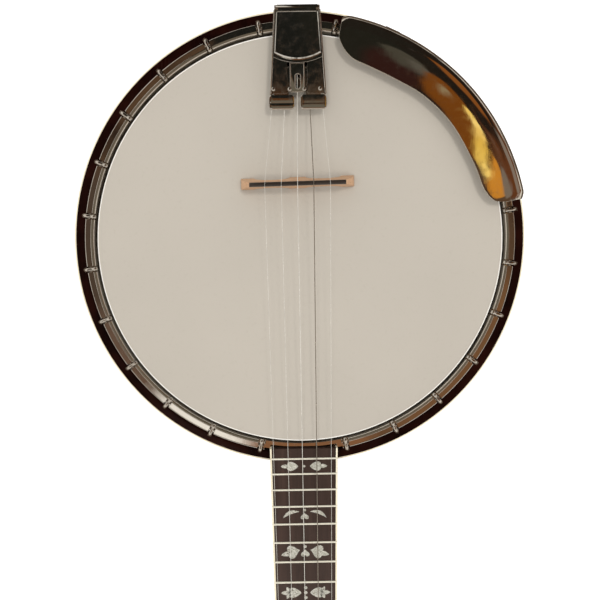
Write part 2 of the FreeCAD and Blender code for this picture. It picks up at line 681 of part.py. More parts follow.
def bridge_cap():
    half = BRIDGE_CAP_HALF
    cap = block((-half, -1.35, BRIDGE_CAP_LOW), (half, 1.35, BRIDGE_TOP + 0.6))
    for x, radius in zip(STRING_AT_BRIDGE, STRING_RADII):
        left, width = x - BRIDGE_MIDDLE_X - radius - 0.06, 2 * radius + 0.12
        profile = outline([(left, -3, BRIDGE_TOP - 0.17), (left, 0, BRIDGE_TOP - 0.02),
                           (left, 3, BRIDGE_TOP - 0.5), (left, 3, BRIDGE_TOP + 9),
                           (left, -3, BRIDGE_TOP + 9)])
        cap = cap.cut(Part.Face(profile).extrude(VEC(width, 0, 0)))
    return place_bridge(cap)


def chain(points, radius):
    body = cylinder(radius, points[0], points[1])
    for a, b in zip(points[1:], points[2:]):
        body = body.fuse(Part.makeSphere(radius, a)).fuse(cylinder(radius, a, b))
    return body


def string_route(number):
    """Anchor post, press tab, bridge, nut and the winding on the post, for strings 1 to 5."""
    k = number - 1
    radius = STRING_RADII[k]
    x_tail, x_bridge = STRING_AT_TAIL[k], STRING_AT_BRIDGE[k]
    press_share = (TAIL_PRESS_Y - BRIDGE_Y) / (TAIL_ANCHOR_Y - BRIDGE_Y)
    x_press = x_bridge + (x_tail - x_bridge) * press_share
    turn = (x_bridge - BRIDGE_MIDDLE_X) * sin(radians(BRIDGE_TURN))
    points = [VEC(x_tail, TAIL_ANCHOR_Y, TAIL_ANCHOR_Z),
              VEC(x_press, TAIL_PRESS_Y, TAIL_WALL_TOP - TAIL_SHEET - radius - 0.05),
              VEC(x_bridge, BRIDGE_Y + turn, BRIDGE_TOP + radius)]
    if number == 5:
        points.append(neck_point(FIFTH_NUT_X, FIFTH_NUT_S, FIFTH_STRING_HEIGHT + radius))
        points.append(fifth_wrap_point())
        return points, radius
    points.append(neck_point(STRING_AT_NUT[k], NUT_S + 0.4, NUT_STRING_HEIGHT + radius + 0.02))
    points.append(neck_point(STRING_AT_NUT[k], NUT_S + NUT_THICKNESS - 0.4, 1.2 + radius))
    x, s = TUNER_PLACES[k]
    side = 1 if x < 0 else -1
    points.append(headstock_point(x + side * (POST_R + WRAP_R + 0.75), s - 1.0, WRAP_Z))
    return points, radius


def string_body(number):
    points, radius = string_route(number)
    return chain(points, radius)


# neck

def neck_section(s, depth, grow=0.0):
    """D-shaped section under the fretboard, closed by a straight top."""
    z = -BOARD_THICKNESS - FIT + grow
    left, right = VEC(left_edge(s) - grow, -s, z), VEC(right_edge(s) + grow, -s, z)
    middle = (left.x + right.x) / 2
    half = (right.x - left.x) / 2
    low_left = VEC(middle - half * 0.72, -s, -depth * 0.76)
    low_right = VEC(middle + half * 0.72, -s, -depth * 0.76)
    curve = Part.BSplineCurve()
    curve.interpolate([right, low_right, VEC(middle, -s, -depth), low_left, left])
    return Part.Wire([line(left, right), curve.toShape()])


def neck_shaft():
    first = Part.makeLoft([neck_section(s, d) for s, d in
                           ((8, 25), (90, 24), (200, 23), (STEP_START, 22))], True, False)
    step = Part.makeLoft([neck_section(STEP_START + STEP_LENGTH * k / 4, 22 - 0.2 * k)
                          for k in range(5)], True, True)
    last = Part.makeLoft([neck_section(s, d) for s, d in
                          ((STEP_START + STEP_LENGTH, 21.2), (NUT_S + NUT_THICKNESS, 20.5))], True, False)
    return on_neck(first.fuse(step).fuse(last))


def heel_loft(grow):
    sections = [neck_section(s, depth + grow, grow) for s, depth in HEEL_DEPTHS]
    return on_neck(Part.makeLoft(sections, True, False))


def neck_heel():
    """Heel block, hollowed to the rim and cut back under the hoop and the flange's open ends."""
    heel = heel_loft(0).cut(Part.makeCylinder(RIM_OUTER + FIT, 120))
    return heel.cut(Part.makeCylinder(HOOP_OUTER + 0.4, 60, VEC(0, 0, HOOP_BOTTOM - 1)))


def headstock_plan(z, thickness):
    """Plain symmetric outline: shoulders, a slight waist and a rounded crown."""
    start = VEC(-16.6, 6, z)
    left = [VEC(-16.2, -8, z), VEC(-20.5, -20, z), VEC(-31.5, -34, z), VEC(-32.5, -52, z),
            VEC(-26.6, -80, z), VEC(-29.5, -112, z), VEC(-28.0, -134, z), VEC(-17.0, -152, z),
            VEC(0, -HEAD_LENGTH, z)]
    right = [VEC(-p.x, p.y, z) for p in reversed(left[:-1])]
    edge = Part.BSplineCurve()
    edge.interpolate(left + right)
    start_right = VEC(-start.x, start.y, z)
    plan = Part.Wire([line(start, left[0]), edge.toShape(), line(right[-1], start_right),
                      line(start_right, start)])
    return Part.Face(plan).extrude(VEC(0, 0, thickness))


def tuner_holes(radius):
    return [Part.makeCylinder(radius, 60, VEC(x, -s, -40)) for x, s in TUNER_PLACES]


def truss_pocket():
    return block((-3.4, -38, -7.0), (3.4, 4, 0.6))


def headstock_overlay():
    plate = headstock_plan(-OVERLAY, OVERLAY)
    plate = plate.cut(block((-40, -0.6, -10), (40, 20, 10)))
    for hole in tuner_holes(BUSH_R + FIT):
        plate = plate.cut(hole)
    return on_headstock(plate.cut(truss_pocket()))


def neck():
    head = headstock_plan(-OVERLAY - HEAD_WOOD, HEAD_WOOD - FIT)
    for hole in tuner_holes(BUSH_R + FIT):
        head = head.cut(hole)
    head = head.cut(truss_pocket())
    body = neck_shaft().fuse(neck_heel())
    head = on_headstock(head)
    above = on_neck(block((-60, -NUT_S - 60, -BOARD_THICKNESS), (60, -100, 40)))
    body = body.fuse(head.cut(above))
    channel = on_neck(block((-TRUSS_HALF, -NUT_S - 18, -BOARD_THICKNESS - 9.2),
                            (TRUSS_HALF, -30, -BOARD_THICKNESS + 1)))
    body = body.cut(channel)
    for z in ROD_HEIGHTS:
        body = body.cut(cylinder(STUD_R + 0.02, VEC(0, -168, z), VEC(0, -130, z)))
    body = body.cut(fifth_bore())
    return body


TRUSS_HALF = 3.1


def truss_rod():
    """Two-way rod in its channel, with an adjusting nut under the cover."""
    z = -BOARD_THICKNESS - 4.6
    rod = cylinder(2.3, VEC(0, -34, z), VEC(0, -NUT_S - 2, z))
    spacer = block((-2.6, -40, z - 4.0), (2.6, -34, z + 4.0))
    rod = rod.fuse(spacer)
    socket = cylinder(3.0, VEC(0, -NUT_S - 2, z), VEC(0, -NUT_S - 14, z))
    socket = socket.cut(hexagon(1.8, 9, VEC(0, -NUT_S - 6, z), VEC(0, -1, 0)))
    return on_neck(rod.fuse(socket))


COVER_SCREWS = ((-6.0, -6.5), (6.0, -6.5), (0.0, -41.2))


def truss_rod_cover():
    """Small bell-shaped plate over the truss-rod pocket."""
    width, length = 9.0, 44.0
    left = [VEC(-width, -3, 0.05), VEC(-8.2, -16, 0.05), VEC(-4.4, -30, 0.05), VEC(-3.6, -38, 0.05),
            VEC(0, -length, 0.05)]
    right = [VEC(-p.x, p.y, p.z) for p in reversed(left[:-1])]
    edge = Part.BSplineCurve()
    edge.interpolate(left + right)
    plate = Part.Face(Part.Wire([edge.toShape(), line(right[-1], left[0])])).extrude(VEC(0, 0, 1.5))
    for place in COVER_SCREWS:
        plate = plate.cut(Part.makeCylinder(1.25, 5, VEC(place[0], place[1], -1)))
    return on_headstock(plate)


def truss_cover_screws():
    screws = []
    for x, y in COVER_SCREWS:
        head = Part.makeCone(1.9, 1.6, 0.7, VEC(x, y, 1.6))
        shank = Part.makeCylinder(1.2, 1.6, VEC(x, y, 0.05))
        slot = block((x - 2.2, y - 0.25, 2.0), (x + 2.2, y + 0.25, 3))
        screws.append(on_headstock(head.fuse(shank).cut(slot)))
    return group(screws)


def fretboard():
    plan = Part.Face(board_outline(BOARD_BINDING + FIT, -BOARD_THICKNESS))
    board = plan.extrude(VEC(0, 0, BOARD_THICKNESS))
    for number in range(1, FRET_COUNT + 1):
        s = fret_s(number)
        board = board.cut(block((-40, -s - 0.3, -1.6), (40, -s + 0.3, 1)))
    for pocket in inlay_solids(-1.2, 0.02):
        board = board.cut(pocket)
    return on_neck(board)


def fretboard_binding():
    outer = Part.Face(board_outline(0, -BOARD_THICKNESS)).extrude(VEC(0, 0, BOARD_THICKNESS))
    inner = Part.Face(board_outline(BOARD_BINDING, -BOARD_THICKNESS - 1))
    inner = inner.extrude(VEC(0, 0, BOARD_THICKNESS + 2))
    strips = outer.cut(inner)
    ends = block((-40, -BOARD_END_S - BOARD_BINDING, -20), (40, 40, 20))
    nut_end = block((-40, -NUT_S - 5, -20), (40, -NUT_S + BOARD_BINDING, 20))
    return on_neck(group(strips.cut(ends).cut(nut_end).Solids))


def frets():
    bars = []
    for number in range(1, FRET_COUNT + 1):
        s = fret_s(number)
        left, right = left_edge(s) + 0.4, right_edge(s) - 0.4
        crown = Part.makeCylinder(1.15, right - left, VEC(left, -s, -0.15), VEC(1, 0, 0))
        crown = crown.common(block((-60, -s - 2, 0.03), (60, -s + 2, 5)))
        tang = block((left + BOARD_BINDING, -s - 0.28, -1.5), (right - BOARD_BINDING, -s + 0.28, 0.1))
        bars.append(on_neck(crown.fuse(tang)))
    return group(bars)


def inlay_leaf(x, s, length, width, turn):
    """Pointed leaf made of two arcs."""
    half = length / 2
    a, b = VEC(-half, 0, 0), VEC(half, 0, 0)
    plan = Part.Wire([arc(a, VEC(0, width / 2, 0), b), arc(b, VEC(0, -width / 2, 0), a)])
    face = Part.Face(plan)
    face.rotate(ORIGIN, UP, turn)
    face.translate(VEC(x, -s, 0))
    return face


INLAY_FRETS = (3, 5, 7, 10, 12, 15, 17, 19, 22)


def inlay_faces():
    """Mirrored pairs of leaves with a small diamond between them, in each marked fret space."""
    faces = []
    for number in INLAY_FRETS:
        s = (fret_s(number) + fret_s(number - 1)) / 2
        space = fret_s(number - 1) - fret_s(number)
        size = min(1.0, space / 13.0)
        middle = (left_edge(s) + right_edge(s)) / 2
        for side in (1, -1):
            for turn in (28, -28):
                leaf = inlay_leaf(middle + side * 10.6, s, 10.5 * size, 3.2 * size, turn * side)
                faces.append(leaf)
        faces.append(inlay_leaf(middle, s, 4.6 * size, 3.0 * size, 90))
    return faces


def inlay_solids(z, grow):
    """Inlays from depth z up to the board's face plus grow; crossed leaves are one solid."""
    joined = None
    for face in inlay_faces():
        body = face.extrude(VEC(0, 0, -z + grow))
        body.translate(VEC(0, 0, z))
        joined = body if joined is None else joined.fuse(body)
    return joined.Solids


def fret_inlays():
    return group([on_neck(body) for body in inlay_solids(-1.2, 0)])


def nut_bar():
    low, high = left_edge(NUT_S), right_edge(NUT_S)
    edge_s = NUT_S + FIT
    far_s = NUT_S + NUT_THICKNESS
    foot = -BOARD_THICKNESS + 0.01
    side = [VEC(low, -edge_s, foot), VEC(low, -edge_s, NUT_STRING_HEIGHT + 0.5),
            VEC(low, -far_s, 1.2), VEC(low, -far_s, foot)]
    bar = Part.Face(Part.makePolygon(side + [side[0]])).extrude(VEC(high - low, 0, 0))
    for x, radius in zip(STRING_AT_NUT, STRING_RADII):
        wall = x - radius - 0.03
        groove = [VEC(wall, -edge_s + 1, NUT_STRING_HEIGHT), VEC(wall, -edge_s + 1, 9),
                  VEC(wall, -NUT_S - 8, 9), VEC(wall, -NUT_S - 8, 0.2)]
        cutter = Part.Face(Part.makePolygon(groove + [groove[0]])).extrude(VEC(2 * radius + 0.06, 0, 0))
        bar = bar.cut(cutter)
    return on_neck(bar)


def fifth_string_nut():
    post = Part.makeCylinder(1.7, FIFTH_STRING_HEIGHT + 0.5, VEC(FIFTH_NUT_X, -FIFTH_NUT_S, 0.02))
    radius = STRING_RADII[4]
    groove = block((FIFTH_NUT_X - radius - 0.03, -FIFTH_NUT_S - 4, FIFTH_STRING_HEIGHT - 0.8),
                   (FIFTH_NUT_X + radius + 0.03, -FIFTH_NUT_S + 4, 9))
    return on_neck(post.cut(groove))


# tuners

POST_R = 3.0
BUSH_R = 4.3
WRAP_R = 0.5
WRAP_Z = 13.5
BACK_Z = -OVERLAY - HEAD_WOOD
HOUSING_R = 9.2
CAVITY_R = 8.0
HOUSING_H = 10.0
PLANET_R = 2.55
ORBIT_R = 5.3
SHAFT_R = 2.0
KNOB_TOP = BACK_Z - HOUSING_H - 0.8
KNOB_H = 9.5


def at_tuner(shape, k):
    x, s = TUNER_PLACES[k]
    moved = shape.copy()
    moved.translate(VEC(x, -s, 0))
    return on_headstock(moved)


def tuner_bushing():
    tube = Part.makeCylinder(BUSH_R, 1.5 - BACK_Z, VEC(0, 0, BACK_Z + FIT))
    collar = hexagon(6.6, 2.6, VEC(0, 0, 0.02), UP)
    bush = tube.fuse(collar)
    return bush.cut(Part.makeCylinder(POST_R + FIT, 40, VEC(0, 0, -30)))


def tuner_housing():
    top = BACK_Z - FIT
    shell = Part.makeCylinder(HOUSING_R, HOUSING_H, VEC(0, 0, top - HOUSING_H))
    shell = shell.makeFillet(1.2, [e for e in shell.Edges if abs(e.CenterOfMass.z - top + HOUSING_H) < 0.1
                                   and isinstance(e.Curve, Part.Circle)])
    shell = shell.cut(Part.makeCylinder(CAVITY_R, HOUSING_H - 1.4, VEC(0, 0, top - HOUSING_H + 1.4)))
    return shell.cut(Part.makeCylinder(SHAFT_R + FIT, 20, VEC(0, 0, top - HOUSING_H - 5)))


def tuner_post():
    """String post, carrier disc with three pins, planets and the string turns wound on the post."""
    carrier_z = BACK_Z - 2.2
    post = Part.makeCylinder(POST_R, 19 - carrier_z, VEC(0, 0, carrier_z))
    post = post.cut(Part.makeCylinder(0.9, 20, VEC(0, -10, WRAP_Z + 2.6), VEC(0, 1, 0)))
    waist = ring(POST_R - 0.5, POST_R + 2, WRAP_Z - 3.2, WRAP_Z + 1.2)
    post = post.cut(waist)
    post = post.fuse(Part.makeCylinder(7.6, 1.6, VEC(0, 0, carrier_z)))
    planets = []
    for turn in range(3):
        place = VEC(ORBIT_R * cos(2 * pi * turn / 3), ORBIT_R * sin(2 * pi * turn / 3), 0)
        post = post.fuse(Part.makeCylinder(0.9, 4.2, place.add(VEC(0, 0, carrier_z - 4.0))))
        planet = Part.makeCylinder(PLANET_R, 3.4, place.add(VEC(0, 0, carrier_z - 3.5)))
        planets.append(planet.cut(Part.makeCylinder(0.92, 8, place.add(VEC(0, 0, carrier_z - 5)))))
    turns = [ring(POST_R - 0.48, POST_R + WRAP_R, WRAP_Z - 3.0 + 1.02 * k, WRAP_Z - 2.0 + 1.02 * k - 0.1)
             for k in range(4)]
    for wrap in turns:
        post = post.fuse(wrap)
    return group([post] + planets)


def tuner_shaft():
    """Sun gear on the input shaft, and the screw that holds the button."""
    sun_top = BACK_Z - 2.4
    low = KNOB_TOP - KNOB_H
    shaft = Part.makeCylinder(PLANET_R, 3.4, VEC(0, 0, sun_top - 3.4))
    shaft = shaft.fuse(Part.makeCylinder(SHAFT_R, sun_top - 3.4 - low - 0.4, VEC(0, 0, low + 0.4)))
    shaft = shaft.cut(Part.makeCylinder(0.95, 6, VEC(0, 0, low - 0.6)))
    screw = Part.makeCylinder(0.93, 5.5, VEC(0, 0, low - 0.2))
    screw = screw.fuse(Part.makeCylinder(2.6, 1.2, VEC(0, 0, low - 1.25)))
    screw = screw.cut(block((-3, -0.3, low - 1.3), (3, 0.3, low - 0.75)))
    return group([shaft, screw])


def tuner_button():
    """Oval pearl knob with a sunk waist."""
    low = KNOB_TOP - KNOB_H
    face = Part.Face(Part.Wire(Part.Ellipse(ORIGIN, 10.5, 7.6).toShape()))
    face.translate(VEC(0, 0, low))
    knob = face.extrude(VEC(0, 0, KNOB_H))
    knob = knob.makeFillet(2.4, [e for e in knob.Edges if e.Length > 30])
    return knob.cut(Part.makeCylinder(SHAFT_R + 0.01, 30, VEC(0, 0, low - 5)))


# fifth-string peg

FIFTH_S = 352.0
FIFTH_DEPTH = -10.4
FIFTH_SIDE_X = 14.4
FIFTH_SHAFT_R = 2.3


def fifth_axis_point(x):
    return VEC(x, -FIFTH_S, FIFTH_DEPTH)


def fifth_bore():
    return on_neck(cylinder(4.05, fifth_axis_point(4), fifth_axis_point(40)))


def fifth_peg_bushing():
    sleeve = cylinder(4.0, fifth_axis_point(4.2), fifth_axis_point(FIFTH_SIDE_X + 1.4))
    collar = cylinder(5.4, fifth_axis_point(FIFTH_SIDE_X + 0.6), fifth_axis_point(FIFTH_SIDE_X + 2.0))
    sleeve = sleeve.fuse(collar)
    return on_neck(sleeve.cut(cylinder(FIFTH_SHAFT_R + FIT, fifth_axis_point(5), fifth_axis_point(30))))


def fifth_peg_shaft():
    """Shaft with wound string turns, a flange against the button and its screw."""
    start, wrap, end = 5.6, FIFTH_SIDE_X + 3.6, FIFTH_SIDE_X + 17
    shaft = cylinder(FIFTH_SHAFT_R, fifth_axis_point(start), fifth_axis_point(end))
    for k in range(4):
        turn_x = wrap + 0.9 * k
        turns = cylinder(FIFTH_SHAFT_R + 0.4, fifth_axis_point(turn_x), fifth_axis_point(turn_x + 0.8))
        shaft = shaft.fuse(turns)
    shaft = shaft.fuse(cylinder(4.2, fifth_axis_point(wrap + 5.2), fifth_axis_point(wrap + 6.4)))
    hole = cylinder(0.95, fifth_axis_point(end - 6), fifth_axis_point(end + 3))
    screw = cylinder(0.93, fifth_axis_point(end - 5.5), fifth_axis_point(end + 0.6))
    screw = screw.fuse(cylinder(2.6, fifth_axis_point(end + 0.4), fifth_axis_point(end + 1.6)))
    return group([on_neck(shaft.cut(hole)), on_neck(screw)])


def fifth_peg_button():
    start, end = FIFTH_SIDE_X + 10.1, FIFTH_SIDE_X + 17.3
    face = Part.Face(Part.Wire(Part.Ellipse(ORIGIN, 10.5, 7.6).toShape()))
    knob = face.extrude(VEC(0, 0, end - start))
    knob = knob.makeFillet(2.2, [e for e in knob.Edges if e.Length > 30])
    knob.Placement = FreeCAD.Placement(fifth_axis_point(start), FreeCAD.Rotation(UP, VEC(1, 0, 0)))
    return on_neck(knob.cut(cylinder(FIFTH_SHAFT_R + 0.01, fifth_axis_point(0), fifth_axis_point(60))))


def fifth_wrap_point():
    return neck_point(FIFTH_SIDE_X + 6.6, FIFTH_S - 1.0, FIFTH_DEPTH + FIFTH_SHAFT_R + 0.95)


# build

PARTS = {
    "resonator_shell": resonator_shell, "resonator_binding": resonator_binding,
    "resonator_lugs": resonator_lugs, "resonator_thumbscrews": resonator_thumbscrews,
    "rim": rim, "tone_ring": tone_ring, "head_film": head_film, "flesh_hoop": flesh_hoop,
    "tension_hoop": tension_hoop, "bracket_hooks": bracket_hooks, "bracket_nuts": bracket_nuts,
    "flange": flange, "coordinator_rods": coordinator_rods, "rod_nuts": rod_nuts, "lag_bolts": lag_bolts,
    "tailpiece_frame": tailpiece_frame, "tailpiece_lid": tailpiece_lid, "tailpiece_pin": tailpiece_pin,
    "tailpiece_hanger": tailpiece_hanger, "tailpiece_bolt": tailpiece_bolt,
    "armrest_plate": armrest_plate, "armrest_clamps": armrest_clamps, "armrest_screws": armrest_screws,
    "bridge_base": bridge_base, "bridge_cap": bridge_cap,
    "neck": neck, "fretboard": fretboard, "fretboard_binding": fretboard_binding, "frets": frets,
    "fret_inlays": fret_inlays, "nut": nut_bar, "fifth_string_nut": fifth_string_nut,
    "truss_rod": truss_rod, "truss_rod_cover": truss_rod_cover, "truss_cover_screws": truss_cover_screws,
    "headstock_overlay": headstock_overlay, "fifth_peg_bushing": fifth_peg_bushing,
    "fifth_peg_shaft": fifth_peg_shaft, "fifth_peg_button": fifth_peg_button,
}


def build():
    os.makedirs("parts", exist_ok=True)
    for name, make in PARTS.items():
        save(name, make())
    for number in range(1, 6):
        save("string_" + str(number), string_body(number))
    save("tuner_bushings", group([at_tuner(tuner_bushing(), k) for k in range(4)]))
    save("tuner_housings", group([at_tuner(tuner_housing(), k) for k in range(4)]))
    for k in range(4):
        number = str(k + 1)
        save("tuner_" + number + "_post", at_tuner(tuner_post(), k))
        save("tuner_" + number + "_shaft", at_tuner(tuner_shaft(), k))
        save("tuner_" + number + "_button", at_tuner(tuner_button(), k))


build()
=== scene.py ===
import json
from math import atan, cos, degrees, pi, radians, sin, sqrt

import bmesh
import bpy
from mathutils import Matrix, Vector

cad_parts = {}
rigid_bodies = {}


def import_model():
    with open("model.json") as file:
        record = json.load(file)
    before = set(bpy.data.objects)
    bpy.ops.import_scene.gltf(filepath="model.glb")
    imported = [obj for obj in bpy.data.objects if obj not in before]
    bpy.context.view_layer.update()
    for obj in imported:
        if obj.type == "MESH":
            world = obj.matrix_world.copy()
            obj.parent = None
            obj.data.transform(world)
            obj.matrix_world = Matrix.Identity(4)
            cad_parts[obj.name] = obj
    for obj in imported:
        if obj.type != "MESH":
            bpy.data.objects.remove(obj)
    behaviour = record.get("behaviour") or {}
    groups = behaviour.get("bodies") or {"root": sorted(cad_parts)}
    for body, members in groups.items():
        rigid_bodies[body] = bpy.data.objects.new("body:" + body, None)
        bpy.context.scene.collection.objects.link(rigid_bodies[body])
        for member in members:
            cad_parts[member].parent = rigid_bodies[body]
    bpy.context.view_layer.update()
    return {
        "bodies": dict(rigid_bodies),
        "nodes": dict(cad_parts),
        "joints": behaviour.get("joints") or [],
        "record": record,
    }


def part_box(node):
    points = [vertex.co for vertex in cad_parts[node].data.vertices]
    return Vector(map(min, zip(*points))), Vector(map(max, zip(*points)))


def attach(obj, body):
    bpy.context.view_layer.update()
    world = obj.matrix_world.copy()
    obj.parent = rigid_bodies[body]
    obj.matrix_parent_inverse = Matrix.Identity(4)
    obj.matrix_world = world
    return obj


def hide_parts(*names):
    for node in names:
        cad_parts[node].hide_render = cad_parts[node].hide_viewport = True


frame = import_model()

scene = bpy.context.scene
mm = 0.001


# camera

cameraSet = dict(place=(-2.949, -4.238, 492.65), tilt=0.0867, lean=0.00504, roll=0.016, lens=34.9)


def makeCamera(values):
    data = bpy.data.cameras.new("viewCamera")
    data.lens = values["lens"]
    data.clip_start = 0.01
    camera = bpy.data.objects.new("viewCamera", data)
    scene.collection.objects.link(camera)
    turn = (Matrix.Rotation(values["roll"], 3, "Z") @ Matrix.Rotation(values["lean"], 3, "Y")
            @ Matrix.Rotation(values["tilt"], 3, "X"))
    camera.matrix_world = Matrix.Translation(Vector(values["place"]) * mm) @ turn.transposed().to_4x4()
    scene.camera = camera


makeCamera(cameraSet)
scene.view_settings.view_transform = "Standard"
print("camera ready")


# mesh helpers (millimetres in, metres out)

def shadeSmooth(mesh, sharp):
    for polygon in mesh.polygons:
        polygon.use_smooth = True
    mesh.set_sharp_from_angle(angle=radians(sharp))


def meshObject(name, points, faces, sharp=40):
    # merges doubles, points the faces outwards, smooths all but the sharp edges
    mesh = bpy.data.meshes.new(name)
    mesh.from_pydata([Vector(p) * mm for p in points], [], faces)
    work = bmesh.new()
    work.from_mesh(mesh)
    bmesh.ops.remove_doubles(work, verts=work.verts, dist=1e-7)
    bmesh.ops.recalc_face_normals(work, faces=work.faces)
    work.to_mesh(mesh)
    work.free()
    shadeSmooth(mesh, sharp)
    piece = bpy.data.objects.new(name, mesh)
    scene.collection.objects.link(piece)
    return piece


def loft(rings, closed=True, caps=True, wrap=False):
    # skins a list of rings with equal counts; wrap joins the last ring to the first
    count = len(rings[0])
    points = [p for ring in rings for p in ring]
    faces = []
    pairs = [(k, k + 1) for k in range(len(rings) - 1)] + ([(len(rings) - 1, 0)] if wrap else [])
    for low, high in pairs:
        for i in range(count if closed else count - 1):
            j = (i + 1) % count
            faces.append((low * count + i, low * count + j, high * count + j, high * count + i))
    if caps and not wrap:
        faces.append(tuple(range(count))[::-1])
        faces.append(tuple(range(len(points) - count, len(points))))
    return points, faces


def spaced(start, end, count):
    return [start + (end - start) * k / count for k in range(count + 1)]


def lathe(profile, steps=48, solid=True):
    # outline of (radius, z) turned round its own z axis; a solid one starts and ends on that axis
    rings = []
    for a in spaced(0, 2 * pi, steps)[:-1]:
        rings.append([(r * cos(a), r * sin(a), z) for r, z in profile])
    return loft(rings, closed=not solid, caps=False, wrap=True)


def smoothLine(points, steps=6, closed=False):
    # Catmull-Rom curve through the points, of any dimension
    points = [Vector(p) for p in points]
    count = len(points)
    result = []
    spans = count if closed else count - 1
    for k in range(spans):
        if closed:
            a, b, c, d = (points[(k + i) % count] for i in (-1, 0, 1, 2))
        else:
            b, c = points[k], points[k + 1]
            a = points[k - 1] if k else b * 2 - c
            d = points[k + 2] if k + 2 < count else c * 2 - b
        for step in range(steps):
            t = step / steps
            result.append(0.5 * ((2 * b) + (c - a) * t + (2 * a - 5 * b + 4 * c - d) * t * t
                                 + (3 * b - a - 3 * c + d) * t ** 3))
    if not closed:
        result.append(points[-1].copy())
    return result


def arcPoints(centre, radius, start, end, steps):
    turns = [radians(angle) for angle in spaced(start, end, steps)]
    return [(centre[0] + radius * cos(t), centre[1] + radius * sin(t)) for t in turns]


def carry(part, into):
    # into turns a part's own coordinates into the banjo's
    points, faces = part
    return [into(*p) for p in points], faces


def slab(outline, low, high):
    # closed plan of (x, y) between two heights
    return loft([[(x, y, z) for x, y in outline] for z in (low, high)])


def mirrored(line):
    # whole outline from its right half, which ends on the middle line
    right = [(p[0], p[1]) for p in line]
    return right + [(-x, y) for x, y in reversed(right[:-1])]


def inward(outline, inset):
    # closed outline, run anticlockwise, with every corner moved inwards
    moved = []
    for k, (x, y) in enumerate(outline):
        bx, by = outline[k - 1]
        ax, ay = outline[(k + 1) % len(outline)]
        out = Vector((ay - by, bx - ax)).normalized()
        moved.append((x - out.x * inset, y - out.y * inset))
    return moved


def joined(parts):
    points, faces = [], []
    for morePoints, moreFaces in parts:
        start = len(points)
        points += [tuple(p) for p in morePoints]
        faces += [tuple(start + i for i in face) for face in moreFaces]
    return points, faces


def tube(path, radius, sides=12):
    # round bar along a path, of one radius or a list of them, its frame carried forward without twist
    path = [Vector(p) for p in path]
    last = len(path) - 1
    tangents = [(path[min(k + 1, last)] - path[max(k - 1, 0)]).normalized() for k in range(last + 1)]
    side = tangents[0].orthogonal().normalized()
    rings = []
    for k, (point, tangent) in enumerate(zip(path, tangents)):
        side = (side - tangent * side.dot(tangent)).normalized()
        other = tangent.cross(side)
        r = radius[k] if isinstance(radius, list) else radius
        rings.append([point + side * r * cos(t) + other * r * sin(t) for t in spaced(0, 2 * pi, sides)[:-1]])
    return loft(rings)


def plate(outline, low, high, edge, into):
    # flat plate with rounded rims, from the inside of its back to the inside of its face
    levels = ((edge, low), (edge * 0.3, low + edge * 0.3), (0, low + edge), (0, high - edge),
              (edge * 0.3, high - edge * 0.3), (edge, high))
    return loft([[into(x, y, z) for x, y in inward(outline, inset)] for inset, z in levels])


def bevel(piece, width, segments=2, angle=35):
    edge = piece.modifiers.new("edge", "BEVEL")
    edge.width = width * mm
    edge.segments = segments
    edge.limit_method = "ANGLE"
    edge.angle_limit = radians(angle)
    piece.modifiers.new("evenShade", "WEIGHTED_NORMAL")
    return piece


def carve(piece, cutters):
    # takes the cutters out of the piece and deletes them
    for cutter in cutters:
        cut = piece.modifiers.new("cut", "BOOLEAN")
        cut.operation = "DIFFERENCE"
        cut.solver = "EXACT"
        cut.object = cutter
    settleModifiers(piece)
    for cutter in cutters:
        bpy.data.objects.remove(cutter)
    return piece


def settleModifiers(piece, sharp=40):
    # a bevelled piece keeps its weighted normals, any other gets its sharp edges marked again
    weighted = any(modifier.type == "WEIGHTED_NORMAL" for modifier in piece.modifiers)
    graph = bpy.context.evaluated_depsgraph_get()
    mesh = bpy.data.meshes.new_from_object(piece.evaluated_get(graph))
    piece.modifiers.clear()
    piece.data = mesh
    if not weighted:
        shadeSmooth(mesh, sharp)
    return piece


def place(piece, body, slotName, *nodes):
    # last step of every piece: its finish, looked up by slot name, its body, and hiding the plain solids it
    # stands for
    piece.data.materials.clear()
    piece.data.materials.append(finishes[slotName])
    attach(piece, body)
    if nodes:
        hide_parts(*nodes)
    return piece


# finishes

def dimmed(color, share):
    return tuple(min(1, c * share) for c in color)


def feed(tree, socket, value):
    # links a node's output, or sets a plain value
    if isinstance(value, bpy.types.NodeSocket):
        tree.links.new(value, socket)
    elif value is not None:
        socket.default_value = (*value, 1) if socket.type == "RGBA" else value


def addNode(tree, kind, operation=None, **given):
    # new node with its inputs fed by name, spaces left out, or by number as in0, in1
    node = tree.nodes.new(kind)
    if operation:
        node.operation = operation
    for number, socket in enumerate(node.inputs):
        feed(tree, socket, given.get(socket.name.replace(" ", ""), given.get("in%d" % number)))
    return node


def newFinish(name):
    finish = bpy.data.materials.new(name)
    finish.use_nodes = True
    tree = finish.node_tree
    return finish, tree, tree.nodes["Principled BSDF"], addNode(tree, "ShaderNodeTexCoord").outputs["Object"]


def calc(tree, operation, first, second=0.0, third=None):
    return addNode(tree, "ShaderNodeMath", operation, in0=first, in1=second, in2=third).outputs[0]


def stretch(tree, source, scale, turn=(0, 0, 0)):
    return addNode(tree, "ShaderNodeMapping", Vector=source, Scale=scale, Rotation=turn).outputs["Vector"]


def noise(tree, source, scale, detail=4, rough=0.55, warp=0.0):
    node = addNode(tree, "ShaderNodeTexNoise", Vector=source, Scale=scale, Detail=detail, Roughness=rough,
                   Distortion=warp)
    return node.outputs["Fac"]


def ramp(tree, source, stops):
    node = addNode(tree, "ShaderNodeValToRGB", Fac=source)
    elements = node.color_ramp.elements
    while len(elements) < len(stops):
        elements.new(0.5)
    for element, (position, color) in zip(elements, stops):
        element.position = position
        element.color = (*color, 1)
    return node.outputs["Color"]


def grey(tree, source, low, high, start=0.3, end=0.7):
    node = addNode(tree, "ShaderNodeMapRange", in0=source, in1=start, in2=end, in3=low, in4=high)
    return node.outputs["Result"]


